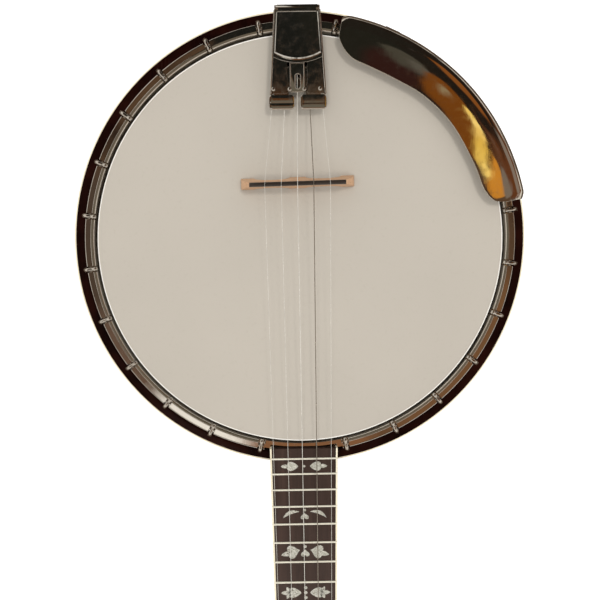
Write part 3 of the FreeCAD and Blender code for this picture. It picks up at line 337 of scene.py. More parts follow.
def mix(tree, factor, first, second):
    node = tree.nodes.new("ShaderNodeMix")
    node.data_type = "RGBA"
    sockets = [s for s in node.inputs if s.type == "RGBA"]
    factorSocket = [s for s in node.inputs if s.name == "Factor" and s.type == "VALUE"][0]
    for socket, value in zip((factorSocket, *sockets), (factor, first, second)):
        feed(tree, socket, value)
    return [s for s in node.outputs if s.type == "RGBA"][0]


def bump(tree, shader, heights, strength, distance):
    node = addNode(tree, "ShaderNodeBump", Strength=strength, Distance=distance * mm, Height=heights)
    tree.links.new(node.outputs["Normal"], shader.inputs["Normal"])


def surface(tree, shader, color, rough, metal=0.0, coat=0.0, coatRough=0.03, shine=0.5):
    feed(tree, shader.inputs["Base Color"], color)
    feed(tree, shader.inputs["Roughness"], rough)
    shader.inputs["Metallic"].default_value = metal
    shader.inputs["Coat Weight"].default_value = coat
    shader.inputs["Coat Roughness"].default_value = coatRough
    shader.inputs["Specular IOR Level"].default_value = shine


def platedMetal(name, color, rough=(0.05, 0.16), cloud=0.12, tarnish=(0.30, 0.24, 0.17), cloudScale=55):
    # polished plate: faint smears in the gloss, fine hairline scratches, a little haze
    finish, tree, shader, where = newFinish(name)
    smear = noise(tree, where, cloudScale, 5, 0.6, 0.4)
    haze = noise(tree, where, 240, 3, 0.6)
    shade = mix(tree, grey(tree, smear, 0.0, cloud, 0.48, 0.78), color, tarnish)
    surface(tree, shader, shade, grey(tree, haze, *rough, 0.42, 0.74), metal=1.0)
    scratches = noise(tree, stretch(tree, where, (900, 40, 400), (0, 0, 0.5)), 3.0, 2, 0.5)
    bump(tree, shader, scratches, 0.05, 0.05)
    return finish


def brushedMetal(name, color, rough=0.3, metal=1.0):
    finish, tree, shader, where = newFinish(name)
    lines = noise(tree, where, 900, 4, 0.65)
    cloud = noise(tree, where, 60, 3)
    shade = mix(tree, grey(tree, cloud, 0.0, 0.5), color, dimmed(color, 0.7))
    surface(tree, shader, shade, grey(tree, lines, rough * 0.7, rough * 1.35), metal=metal)
    bump(tree, shader, lines, 0.25, 0.05)
    return finish


def lacqueredWood(name, dark, light, along, grainScale=30, coat=1.0, rough=0.35, flame=0.0, shine=0.5):
    # long grain with pores, broad colour bands and an optional cross figure, under clear gloss
    finish, tree, shader, where = newFinish(name)
    grain = noise(tree, stretch(tree, where, along), grainScale, 7, 0.62, 0.9)
    bandsAlong = tuple(a * 0.35 for a in along)
    bands = noise(tree, stretch(tree, where, bandsAlong), grainScale * 0.35, 3, 0.5, 1.4)
    poresAlong = tuple(a * (1 if a < 1 else 3) for a in along)
    pores = noise(tree, stretch(tree, where, poresAlong), grainScale * 5, 3, 0.6)
    base = mix(tree, grey(tree, grain, 0, 1, 0.32, 0.68), dark, light)
    base = mix(tree, grey(tree, bands, 0, 0.55, 0.4, 0.7), base, dimmed(dark, 0.45))
    base = mix(tree, grey(tree, pores, 0, 0.5, 0.58, 0.72), base, dimmed(dark, 0.25))
    if flame:
        cross = tuple(1.0 if a < 1 else 0.25 for a in along)
        ripple = noise(tree, stretch(tree, where, cross), grainScale * 2.4, 2, 0.4, 0.3)
        base = mix(tree, grey(tree, ripple, 0, flame, 0.45, 0.62), base, dimmed(light, 1.9))
    surface(tree, shader, base, grey(tree, grain, rough * 0.8, rough * 1.2), 0.0, coat, 0.04, shine)
    bump(tree, shader, pores, 0.12 if coat else 0.35, 0.05)
    return finish


def frostedCoat(name, color, paintedHighlightFrom):
    # sprayed coating on the head: fine tooth, faint clouds and flecks, and a painted highlight, a pale ring
    # beyond a radius along the crown
    finish, tree, shader, where = newFinish(name)
    clouds = noise(tree, where, 9, 4, 0.5)
    tooth = noise(tree, where, 2600, 2, 0.7)
    fleck = noise(tree, where, 420, 2, 0.5)
    base = mix(tree, grey(tree, clouds, 0, 1, 0.35, 0.65), color, dimmed(color, 0.95))
    base = mix(tree, grey(tree, fleck, 0, 0.10, 0.6, 0.75), base, (0.30, 0.26, 0.20))
    flat = addNode(tree, "ShaderNodeVectorMath", "MULTIPLY", in0=where, in1=(1, 1, 0))
    reach = addNode(tree, "ShaderNodeVectorMath", "LENGTH", in0=flat.outputs[0])
    # painted highlight: the colour turns pale beyond this radius, standing in for the bright line along the
    # crown
    paintedHighlightRing = grey(tree, reach.outputs["Value"], 0, 1, paintedHighlightFrom, paintedHighlightFrom + 0.0002)
    base = mix(tree, paintedHighlightRing, base, (0.93, 0.91, 0.86))
    surface(tree, shader, base, grey(tree, clouds, 0.5, 0.66))
    bump(tree, shader, tooth, 0.22, 0.06)
    return finish


def castPlastic(name, color, second, cloudScale=40, rough=0.25, coat=0.6, amount=0.6):
    finish, tree, shader, where = newFinish(name)
    cloud = noise(tree, where, cloudScale, 4, 0.55, 0.6)
    fine = noise(tree, where, cloudScale * 18, 3)
    base = mix(tree, grey(tree, cloud, 0, amount, 0.35, 0.65), color, second)
    surface(tree, shader, base, grey(tree, fine, rough * 0.8, rough * 1.3), 0.0, coat, 0.08)
    bump(tree, shader, fine, 0.06, 0.03)
    return finish


def shellPearl(name):
    # pearl shell: soft bands of pale pink, green and blue under polish
    finish, tree, shader, where = newFinish(name)
    bands = noise(tree, stretch(tree, where, (1.0, 1.6, 1.0), (0, 0, 0.7)), 300, 4, 0.6, 2.2)
    colors = ramp(tree, bands, [(0.36, (0.12, 0.11, 0.09)), (0.45, (0.48, 0.46, 0.39)),
                                (0.51, (0.26, 0.27, 0.23)), (0.57, (0.66, 0.63, 0.55)),
                                (0.66, (0.22, 0.22, 0.22))])
    surface(tree, shader, colors, grey(tree, bands, 0.15, 0.32), 0.0, 0.8, 0.05)
    return finish


def wireFinish(name, color, pitch, depth, metal):
    # wire with lines across it all along the neck; the pitch in millimetres sets how close they lie
    finish, tree, shader, where = newFinish(name)
    wave = addNode(tree, "ShaderNodeTexWave", Vector=where, Scale=0.05 / (pitch * mm))
    wave.bands_direction = "Y"
    stain = noise(tree, where, 120, 4)
    base = mix(tree, grey(tree, stain, 0.0, 0.6, 0.4, 0.7), color, dimmed(color, 0.5))
    surface(tree, shader, base, grey(tree, stain, 0.2, 0.4), metal=metal)
    bump(tree, shader, wave.outputs["Fac"], depth, 0.05)
    return finish


nickelColor = (0.64, 0.60, 0.54)
finishes = {
    "nickel": platedMetal("polishedNickel", nickelColor, cloud=0.8, tarnish=(0.07, 0.05, 0.04),
                          cloudScale=520),
    "nickel_hoop": platedMetal("hoopNickel", nickelColor, rough=(0.04, 0.12)),
    "nickel_flange": platedMetal("flangeNickel", (0.58, 0.54, 0.48), rough=(0.08, 0.22), cloud=0.3),
    "nickel_tailpiece": platedMetal("tailpieceNickel", (0.60, 0.57, 0.52), rough=(0.05, 0.18), cloud=0.2),
    "nickel_lid": platedMetal("lidNickel", (0.60, 0.58, 0.54), rough=(0.05, 0.2), cloud=0.35),
    "nickel_armrest": platedMetal("armrestNickel", (0.68, 0.63, 0.55), rough=(0.03, 0.10), cloud=0.08),
    "steel": brushedMetal("plainSteel", (0.42, 0.42, 0.42), 0.32),
    "fret_wire": brushedMetal("nickelSilver", (0.90, 0.86, 0.72), 0.34, metal=0.2),
    "aluminium": brushedMetal("dullAluminium", (0.7, 0.7, 0.71), 0.35),
    "bronze": brushedMetal("turnedBronze", (0.55, 0.36, 0.14), 0.25),
    "plain_string": wireFinish("plainWire", (0.74, 0.72, 0.66), 0.8, 0.05, 0.25),
    "wound_string": wireFinish("woundWire", (0.34, 0.30, 0.25), 0.22, 0.9, 0.8),
    "walnut_gloss": lacqueredWood("resonatorWood", (0.0025, 0.0004, 0.0004), (0.018, 0.003, 0.0015),
                                  (1, 0.08, 1), 34, 0.05, 0.3, 0.2, 0.08),
    "neck_walnut": lacqueredWood("neckWood", (0.055, 0.018, 0.009), (0.16, 0.06, 0.028), (1, 0.05, 1), 40),
    "maple": lacqueredWood("rimMaple", (0.42, 0.26, 0.13), (0.60, 0.41, 0.23), (1, 1, 6), 30, 0.3, 0.5),
    "bridge_maple": lacqueredWood("bridgeMaple", (0.50, 0.28, 0.15), (0.68, 0.44, 0.27), (0.12, 1, 1), 60,
                                  0.0, 0.55),
    "ebony": lacqueredWood("capEbony", (0.012, 0.009, 0.007), (0.035, 0.024, 0.018), (0.1, 1, 1), 60, 0.2,
                           0.4),
    "fretboard_ebony": lacqueredWood("boardWood", (0.020, 0.010, 0.007), (0.055, 0.028, 0.020), (1, 0.05, 1),
                                     90, 0.25, 0.42),
    "headstock_black": castPlastic("headstockVeneer", (0.010, 0.009, 0.009), (0.018, 0.016, 0.015), 30,
                                   0.12, 1.0),
    "black_plastic": castPlastic("coverPlate", (0.012, 0.011, 0.011), (0.02, 0.018, 0.016), 50, 0.2, 0.8),
    "cream_binding": castPlastic("creamBinding", (0.84, 0.77, 0.60), (0.72, 0.63, 0.44), 30, 0.3, 0.3),
    # frosted head, with a painted highlight ring along its crown beyond the given radius
    "frosted_head": frostedCoat("frostedHead", (0.452, 0.416, 0.362), 0.1382),
    "bone": castPlastic("polishedBone", (0.80, 0.74, 0.60), (0.70, 0.62, 0.46), 180, 0.3, 0.3),
    "pearl": shellPearl("shellPearl"),
    "pearl_plastic": castPlastic("pearloid", (0.80, 0.78, 0.70), (0.62, 0.60, 0.52), 110, 0.15, 0.9, 0.9),
}
slotOf = {part["node"]: part["material_slot"] for part in frame["record"]["subparts"]}
for nodeName, node in frame["nodes"].items():
    node.data.materials.clear()
    node.data.materials.append(finishes[slotOf[nodeName]])
print("finishes ready", len(finishes))


# light and floor

# each patch is a direction, its inner and outer reach in degrees and the colour that polished metal mirrors
roomSet = dict(
    floorSize=6.0, floorZ=-0.3, floorColor=(0.93, 0.93, 0.93), floorGloss=(0.10, 0.07, 0.05), floorGlow=0.4,
    soft=(0.80, 0.79, 0.775), zenith=(0.13, 0.075, 0.042), middle=(0.98, 0.93, 0.87), low=(0.95, 0.90, 0.83),
    blotch=(0.020, 0.013, 0.010), wobble=1.4,
    patches=[((0.0, 0.0, 1.0), 12.5, 15, (0.19, 0.165, 0.125)),
             ((0.70, 0.40, 0.59), 22, 30, (0.16, 0.055, 0.020)),
             ((0.32, 0.74, 0.59), 28, 36, (0.020, 0.014, 0.010)),
             ((0.0, 0.66, 0.75), 20, 25, (0.020, 0.017, 0.013)),
             ((0.0, 0.38, 0.925), 7.6, 8.6, (0.016, 0.016, 0.013)),
             ((0.13, 0.42, 0.90), 7.0, 8.5, (0.020, 0.019, 0.014)),
             ((-0.02, 0.225, 0.975), 1.4, 1.9, (0.14, 0.055, 0.018)),
             ((0.173, 0.325, 0.930), 2.4, 3.6, (0.040, 0.015, 0.012)),
             ((0.222, 0.385, 0.90), 2.6, 3.3, (0.085, 0.078, 0.060)),
             ((0.245, 0.345, 0.906), 1.2, 1.7, (0.125, 0.115, 0.095)),
             ((0.30, 0.295, 0.906), 3.0, 3.7, (0.23, 0.072, 0.010)),
             ((0.325, 0.215, 0.921), 3.0, 3.8, (0.23, 0.072, 0.010)),
             ((0.495, 0.468, 0.733), 6.0, 8.0, (0.30, 0.10, 0.022)),
             ((0.390, 0.112, 0.914), 1.9, 2.5, (0.80, 0.33, 0.04)),
             ((0.391, 0.148, 0.908), 1.4, 1.9, (0.80, 0.33, 0.04)),
             ((0.285, 0.298, 0.910), 0.5, 0.9, (0.36, 0.27, 0.15)),
             ((0.354, 0.262, 0.898), 1.0, 1.4, (1.15, 0.80, 0.20)),
             ((0.363, 0.235, 0.902), 1.1, 1.5, (1.30, 0.95, 0.30)),
             ((0.361, 0.209, 0.909), 1.0, 1.4, (1.15, 0.78, 0.20)),
             ((0.352, 0.186, 0.917), 0.9, 1.3, (1.05, 0.68, 0.12)),
             ((0.346, 0.164, 0.924), 0.9, 1.3, (1.10, 0.74, 0.15)),
             ((0.356, 0.142, 0.924), 0.7, 1.1, (1.25, 0.90, 0.25)),
             ((0.380, 0.192, 0.905), 0.4, 0.8, (0.07, 0.03, 0.012)),
             ((0.374, 0.170, 0.912), 0.35, 0.7, (0.07, 0.03, 0.012)),
             ((0.367, 0.152, 0.917), 0.3, 0.6, (0.09, 0.04, 0.015)),
             ((0.470, 0.105, 0.876), 3.2, 4.2, (0.25, 0.20, 0.16)),
             ((0.76, 0.22, 0.61), 9, 12, (0.30, 0.24, 0.20)),
             ((0.0, -0.31, 0.95), 6, 8, (0.32, 0.15, 0.07)),
             ((0.27, -0.20, 0.94), 8, 11, (0.24, 0.12, 0.055)),
             ((-0.30, -0.18, 0.936), 5, 7, (0.19, 0.12, 0.085)),
             ((-0.17, -0.30, 0.94), 4.5, 6.2, (1.25, 1.22, 1.16)),
             ((-0.36, 0.02, 0.93), 5, 8, (0.10, 0.07, 0.05))],
    lamps=[((0.36, 0.29, 1.34), 0.22, 5.2, (1.0, 0.97, 0.93)),
           ((-0.24, -0.46, 1.34), 0.26, 4.6, (1.0, 0.98, 0.95)),
           ((-1.20, 0.60, 0.80), 0.9, 1.5, (1.0, 0.98, 0.95)),
           ((1.10, -1.20, 0.70), 0.9, 1.5, (1.0, 0.97, 0.93))])


def makeRoom(values):
    world = bpy.data.worlds.new("studioRoom")
    scene.world = world
    world.use_nodes = True
    tree = world.node_tree
    background = tree.nodes["Background"]
    coordinates = tree.nodes.new("ShaderNodeTexCoord").outputs["Generated"]
    height = addNode(tree, "ShaderNodeSeparateXYZ", in0=coordinates).outputs["Z"]
    blotch = noise(tree, coordinates, 7.0, 4, 0.6, 0.6)
    color = mix(tree, grey(tree, height, 1.0, 0.0, 0.30, 0.62), values["middle"], values["low"])
    color = mix(tree, grey(tree, height, 0.0, 1.0, 0.76, 0.86), color, values["zenith"])
    color = mix(tree, grey(tree, blotch, 0.0, 0.8, 0.50, 0.60), color, values["blotch"])
    for direction, inner, outer, tint in values["patches"]:
        dot = addNode(tree, "ShaderNodeVectorMath", "DOT_PRODUCT", in0=coordinates,
                      in1=Vector(direction).normalized())
        waver = values["wobble"] * (1 - cos(radians(outer)))
        far, full = (cos(radians(reach)) + waver / 2 for reach in (outer, inner))
        near = grey(tree, calc(tree, "MULTIPLY_ADD", blotch, waver, dot.outputs["Value"]), 0, 1, far, full)
        color = mix(tree, near, color, tint)
    path = tree.nodes.new("ShaderNodeLightPath")
    lit = mix(tree, path.outputs["Is Glossy Ray"], values["soft"], color)
    seen = mix(tree, path.outputs["Is Camera Ray"], lit, (1.0, 1.0, 1.0))
    tree.links.new(seen, background.inputs["Color"])
    for number, (where, size, power, tint) in enumerate(values["lamps"]):
        data = bpy.data.lights.new("softbox%d" % number, "AREA")
        data.shape = "DISK"
        data.size = size
        data.energy = power
        data.color = tint
        lamp = bpy.data.objects.new("softbox%d" % number, data)
        scene.collection.objects.link(lamp)
        lamp.visible_glossy = False
        target = Vector((0, -0.05, 0.05))
        lamp.matrix_world = (Matrix.Translation(where)
                             @ (Vector(where) - target).to_track_quat("Z", "Y").to_matrix().to_4x4())


def makeFloor(values):
    half = values["floorSize"] / mm / 2
    corners = [(x * half, y * half, values["floorZ"]) for x, y in ((-1, -1), (1, -1), (1, 1), (-1, 1))]
    floor = meshObject("paleFloor", corners, [(0, 1, 2, 3)])
    finish, tree, shader, where = newFinish("paleFloor")
    path = tree.nodes.new("ShaderNodeLightPath")
    cloud = grey(tree, noise(tree, where, 2.0, 3), 0, 1)
    color = mix(tree, cloud, values["floorColor"], dimmed(values["floorColor"], 0.985))
    color = mix(tree, path.outputs["Is Glossy Ray"], color, values["floorGloss"])
    surface(tree, shader, color, 0.9, shine=0.1)
    glow = grey(tree, path.outputs["Is Camera Ray"], 0.0, values["floorGlow"], 0, 1)
    tree.links.new(glow, shader.inputs["Emission Strength"])
    shader.inputs["Emission Color"].default_value = (1, 1, 1, 1)
    floor.data.materials.append(finish)


makeRoom(roomSet)
makeFloor(roomSet)
print("room ready")


# geometry node helpers

def newTree(name, inputs):
    tree = bpy.data.node_groups.new(name, "GeometryNodeTree")
    tree.interface.new_socket("Geometry", in_out="INPUT", socket_type="NodeSocketGeometry")
    for label, kind, value in inputs:
        socket = tree.interface.new_socket(label, in_out="INPUT", socket_type="NodeSocket" + kind)
        if value is not None:
            socket.default_value = value
    tree.interface.new_socket("Geometry", in_out="OUTPUT", socket_type="NodeSocketGeometry")
    return tree, tree.nodes.new("NodeGroupInput").outputs


def combine(tree, x=0.0, y=0.0, z=0.0):
    return addNode(tree, "ShaderNodeCombineXYZ", X=x, Y=y, Z=z).outputs[0]


def closeTree(tree, geometry, material):
    # realise what was repeated and give it its finish
    realize = addNode(tree, "GeometryNodeRealizeInstances", in0=geometry)
    paint = addNode(tree, "GeometryNodeSetMaterial", Geometry=realize.outputs[0], Material=material)
    addNode(tree, "NodeGroupOutput", in0=paint.outputs[0])


def runTree(piece, tree, values, sharp=40):
    # sets the named inputs, evaluates once and keeps the plain mesh
    modifier = piece.modifiers.new(tree.name, "NODES")
    modifier.node_group = tree
    for item in tree.interface.items_tree:
        if item.in_out == "INPUT" and item.name in values:
            modifier[item.identifier] = values[item.name]
    return settleModifiers(piece, sharp)


def aroundPotTree():
    # copies the piece to two mirrored rows of places, counted from the neck each way
    tree, given = newTree("aroundPot", [("Per Side", "Int", 12), ("First Angle", "Float", 0.2),
                                        ("Step", "Float", 0.25), ("Finish", "Material", None)])
    points = addNode(tree, "GeometryNodePoints", Count=calc(tree, "MULTIPLY", given["Per Side"], 2))
    index = tree.nodes.new("GeometryNodeInputIndex").outputs[0]
    side = calc(tree, "MULTIPLY_ADD", calc(tree, "MODULO", index, 2), 2, -1)
    order = calc(tree, "FLOOR", calc(tree, "DIVIDE", index, 2))
    turn = calc(tree, "MULTIPLY_ADD", order, given["Step"], given["First Angle"])
    angle = calc(tree, "MULTIPLY", side, turn)
    copies = addNode(tree, "GeometryNodeInstanceOnPoints", Points=points.outputs[0],
                     Instance=given["Geometry"], Rotation=combine(tree, z=angle))
    closeTree(tree, copies.outputs[0], given["Finish"])
    return tree


def highest(node):
    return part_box(node)[1].z / mm


def lowest(node):
    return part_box(node)[0].z / mm


def widest(node):
    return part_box(node)[1].x / mm


# head: one skin from the middle over the crown and down its collar

headSet = dict(crown=1.3, skin=0.35, steps=7)


def makeHead(values):
    top, low, outer = highest("head_film"), lowest("head_film"), widest("head_film")
    crown, skin = values["crown"], values["skin"]
    over = arcPoints((outer - crown, top - crown), crown, 90, 0, values["steps"])
    under = arcPoints((outer - crown, top - crown), crown - skin, 0, 90, values["steps"])
    flat = [outer * share for share in (0, 0.25, 0.5, 0.7, 0.85, 0.95)]
    collar = [(outer, low + 0.2), (outer - 0.1, low), (outer - skin, low)]
    profile = [(r, top) for r in flat] + over + collar + under + [(r, top - skin) for r in reversed(flat)]
    place(meshObject("headSkin", *lathe(profile, 200)), "banjo", "frosted_head", "head_film")


makeHead(headSet)


# tension hoop: a grooved band with a notch under each hook and a low gap at the neck

hookRow = dict(perSide=12, first=12.0, step=14.36)
hoopSet = dict(inner=141.0, bead=2.3, band=91.2, skirt=143.8, shoulder=80.4, notchAngle=0.72, slope=0.14,
               notch=(89.05, 86.7, 146.0), neckAngle=degrees(atan(27.4 / 144)), neckGap=(91.0, 86.0, 143.5))


def hookAngles():
    places = [hookRow["first"] + hookRow["step"] * k for k in range(hookRow["perSide"])]
    return [side * angle for angle in places for side in (1, -1)]


def atAngle(radius, angle, z):
    # angle in degrees from the neck side, growing towards +X
    return (radius * sin(radians(angle)), -radius * cos(radians(angle)), z)


def makeHoop(values):
    top, low, outer = highest("tension_hoop"), lowest("tension_hoop"), widest("tension_hoop")
    inner, band, edge = values["inner"], values["band"], values["inner"] + values["bead"]
    profile = [(values["skirt"], low + 0.3), (values["skirt"], values["shoulder"]),
               (inner, values["shoulder"]), (inner, top - 1.2), (inner + 0.08, top - 0.7),
               (inner + 0.3, top - 0.38), (inner + 0.6, top - 0.24), (inner + 0.9, top - 0.2),
               (edge - 0.75, top - 0.04), (edge - 0.45, top), (edge - 0.12, top - 0.1), (edge, top - 0.4),
               (edge + 0.05, band + 0.14), (edge + 0.14, band + 0.02), (edge + 0.35, band),
               (edge + 0.8, band), (outer - 1.1, band), (outer - 0.7, band), (outer - 0.35, band - 0.06),
               (outer - 0.1, band - 0.3), (outer, band - 0.7)]
    profile += [(outer, 84), (outer, low + 0.5), (outer - 0.4, low), (values["skirt"] + 0.3, low)]
    half, slope = values["notchAngle"], values["slope"]
    neckAngle = values["neckAngle"]
    stations = {}  # angle: height limit inside a radius, limit outside it, and that radius
    for angle in hookAngles():
        for shift in (-half - slope, half + slope):
            stations[angle + shift] = None
        for shift in (-half, 0, half):
            stations[angle + shift] = values["notch"]
    for side in (1, -1):
        stations[side * (neckAngle + slope)] = None
        for share in (1.0, 0.85, 0.7, 0.5, 0.25):
            stations[side * neckAngle * share] = values["neckGap"]
    stations[0.0] = values["neckGap"]
    for angle in spaced(-180, 180, 240)[:-1]:
        if abs(angle) > neckAngle and all(abs(angle - other) > 0.75 for other in stations):
            stations[angle] = None
    rings = []
    for angle in sorted(stations):
        limits = stations[angle]
        ring = []
        for r, z in profile:
            if limits:
                z = min(z, limits[1] if r > limits[2] else limits[0])
            ring.append(atAngle(r, angle, z))
        rings.append(ring)
    hoop = meshObject("tensionHoopBand", *loft(rings, caps=False, wrap=True), sharp=35)
    place(hoop, "banjo", "nickel_hoop", "tension_hoop")


makeHoop(hoopSet)
print("head and hoop ready")


# bracket hooks and nuts, one of each copied round the pot

hookSet = dict(wire=1.35, bend=3.6, drop=2.7, radius=150.1, nose=142.3, bulb=1.75, foot=46.0, pitch=0.9,
               threadTop=60.0, threadDepth=0.22, nutR=(2.1, 3.05, 3.58), nutEdge=0.5)


def hookMesh(values):
    axis = highest("bracket_hooks") - values["drop"]
    wire, bend, r = values["wire"], values["bend"], values["radius"]
    path, radii = [], []
    turns = int((values["threadTop"] - values["foot"]) / values["pitch"] * 2)
    for k in range(turns):
        path.append((r, values["foot"] + k * values["pitch"] / 2))
        radii.append(wire - (values["threadDepth"] if k % 2 else 0.0))
    for z in (62.0, 74.0, axis - bend):
        path.append((r, z))
        radii.append(wire)
    for angle in spaced(0, 90, 7)[1:]:
        t = radians(angle)
        path.append((r - bend + bend * cos(t), axis - bend + bend * sin(t)))
        radii.append(wire + 0.16 * sin(2 * t))
    nose, bulb = values["nose"], values["bulb"]
    for reach, size in ((145.2, 0.86), (144.4, 0.84), (143.7, 0.93)):
        path.append((reach, axis))
        radii.append(wire * size)
    for angle in spaced(62, 180, 7)[1:]:
        t = radians(angle)
        path.append((nose + bulb * cos(t), axis + 0.02))
        radii.append(max(bulb * sin(t), 0.01))
    return tube([(0, -a, z) for a, z in path], radii, 14)


def makeHooks(values):
    tree = aroundPotTree()
    spread = {"Per Side": hookRow["perSide"], "First Angle": radians(hookRow["first"]),
              "Step": radians(hookRow["step"]), "Finish": finishes["nickel"]}
    hooks = meshObject("bracketHooks", *hookMesh(values), sharp=50)
    place(runTree(hooks, tree, spread, 50), "banjo", "nickel", "bracket_hooks")
    low, high = lowest("bracket_nuts"), highest("bracket_nuts")
    (bore, face, corner), soft = values["nutR"], values["nutEdge"]
    rings = []
    for z, r in ((low, bore), (low, face), (low + soft, corner), (high - soft, corner), (high, face),
                 (high, bore)):
        rings.append([(r * cos(a), r * sin(a) - values["radius"], z) for a in spaced(0, 2 * pi, 6)[:-1]])
    nuts = meshObject("bracketNuts", *loft(rings, caps=False, wrap=True), sharp=25)
    settleModifiers(bevel(nuts, 0.15))
    place(runTree(nuts, tree, spread), "banjo", "nickel", "bracket_nuts")


makeHooks(hookSet)
print("hooks ready")


# armrest: polished sheet with a rolled outer lip, its inner outline swelling and rounded at both ends

armrestSet = dict(angles=(11.4, 79.6), outer=(153.4, 156.0), sheet=1.2, lip=84.0, rows=22, columns=90,
                  innerAtEnds=137.0,
                  line=[(0.0, 91.8), (1.2, 95.9), (4.6, 98.5), (11.0, 99.6), (20.0, 100.05), (34.0, 100.4)],
                  inner=[(146.5, 11.0), (138, 11.2), (130, 13.4), (125, 16.9), (123.8, 22), (124, 31),
                         (126.2, 41), (127.2, 53), (126.9, 66), (127.8, 74.4), (132.4, 78.3), (138.5, 79.4),
                         (150, 80.2)])


def makeArmrest(values):
    outline = smoothLine([(r * sin(radians(a)), r * cos(radians(a))) for r, a in values["inner"]], 24)
    edge = [(degrees(atan(p.x / p.y)) % 180, p.length) for p in outline]
    section = smoothLine(values["line"], 16)
    start, end = values["angles"]
    rings = []
    for share in spaced(0, 1, values["columns"]):
        share = (1 - cos(pi * share)) / 2 * 0.55 + share * 0.45  # columns crowd towards both ends
        angle = start + (end - start) * share
        crossed = [(a, r, b, q) for (a, r), (b, q) in zip(edge, edge[1:]) if min(a, b) <= angle <= max(a, b)]
        radii = [r for a, r, b, q in crossed]
        radii += [r + (q - r) * (angle - a) / (b - a) for a, r, b, q in crossed if a != b]
        inner = min(radii, default=values["innerAtEnds"])
        reach = min(angle - start, end - angle)
        drop = values["lip"] + 6.5 * max(0.0, 1 - reach / 2.6) ** 2
        front, rear = values["outer"]
        outer = front + (rear - front) * (angle - start) / (end - start)
        outer -= 2.2 * max(0.0, 1 - reach / 2.2) ** 2
        column = [(outer, drop), (outer, drop * 0.6 + 91 * 0.4)]
        width = outer - inner
        for t in spaced(0, 1, values["rows"]):
            depth = width * (t * 0.6 + t * t * 0.4)
            z = next((low.y + (high.y - low.y) * (depth - low.x) / max(high.x - low.x, 1e-6)
                      for low, high in zip(section, section[1:]) if low.x <= depth <= high.x), section[-1].y)
            column.append((outer - depth, z))
        a = radians(angle)
        rings.append([(r * sin(a), r * cos(a), z) for r, z in column])
    armrest = meshObject("armrestPlate", *loft(rings, closed=False, caps=False), sharp=60)
    if armrest.data.polygons[len(armrest.data.polygons) // 2].normal.z < 0:
        armrest.data.flip_normals()
    wall = armrest.modifiers.new("sheet", "SOLIDIFY")
    wall.thickness = values["sheet"] * mm
    wall.offset = -1
    wall.use_even_offset = False
    place(settleModifiers(bevel(armrest, 0.42, 3, 50), 60), "banjo", "nickel_armrest", "armrest_plate")


makeArmrest(armrestSet)
print("armrest ready")


# tailpiece: trough with two fingers, pressing tabs and a hinged cover

tailSet = dict(rearY=154.0, rearHalf=14.6, frontHalf=18.4, frontY=96.0, sheet=1.4, deckTop=101.6,
               wallDrop=16.6, gaps=(-6.2, 5.2), gapHalf=0.95, slot=(0.0, 102.6, 108.6, 1.6),
               posts=((-16.3, 100.4), (-5.6, 100.2), (4.0, 100.2), (14.4, 100.4)),
               tabs=((-19.4, -2.6, 1.0), (1.2, 18.6, 0.0)), hinge=(152.0, 99.5),
               anchors=(-13.0, -6.6, -0.2, 6.2, 12.6), anchorY=134.6)


def tailHalf(y):
    values = tailSet
    share = (values["rearY"] - y) / (values["rearY"] - values["frontY"])
    return values["rearHalf"] + (values["frontHalf"] - values["rearHalf"]) * share


def rodBetween(start, end, radius, sides=16):
    return tube([start, [(a + b) / 2 for a, b in zip(start, end)], end], radius, sides)


def pressTab(low, high, roll):
    # rounded bar across the strings; roll lifts its front edge into a bead
    section = [(97.0, 100.2), (97.0, 101.2), (96.7, 101.5), (96.0, 101.6), (92.8, 101.62),
               (92.0, 101.6 - 0.12 * roll), (91.5, 101.6 - 0.3 * roll), (91.0, 101.6 - 0.12 * roll),
               (90.4, 101.62), (88.6, 101.58), (88.0, 101.45), (87.6, 101.2), (87.4, 100.6), (87.7, 100.2)]
    middleY, floorZ = 91.4, 100.2
    rings = []
    for t in spaced(0, 1, 28):
        x = low + (high - low) * (1 - cos(pi * t)) / 2
        reach = min(x - low, high - x)
        squeeze = 0.52 + 0.48 * sqrt(max(0.0, 1 - (1 - min(reach / 2.2, 1)) ** 2))
        rise = 0.5 + 0.5 * squeeze
        rings.append([(x, middleY + (y - middleY) * squeeze, floorZ + (z - floorZ) * rise) for y,
                      z in section])
    return loft(rings)


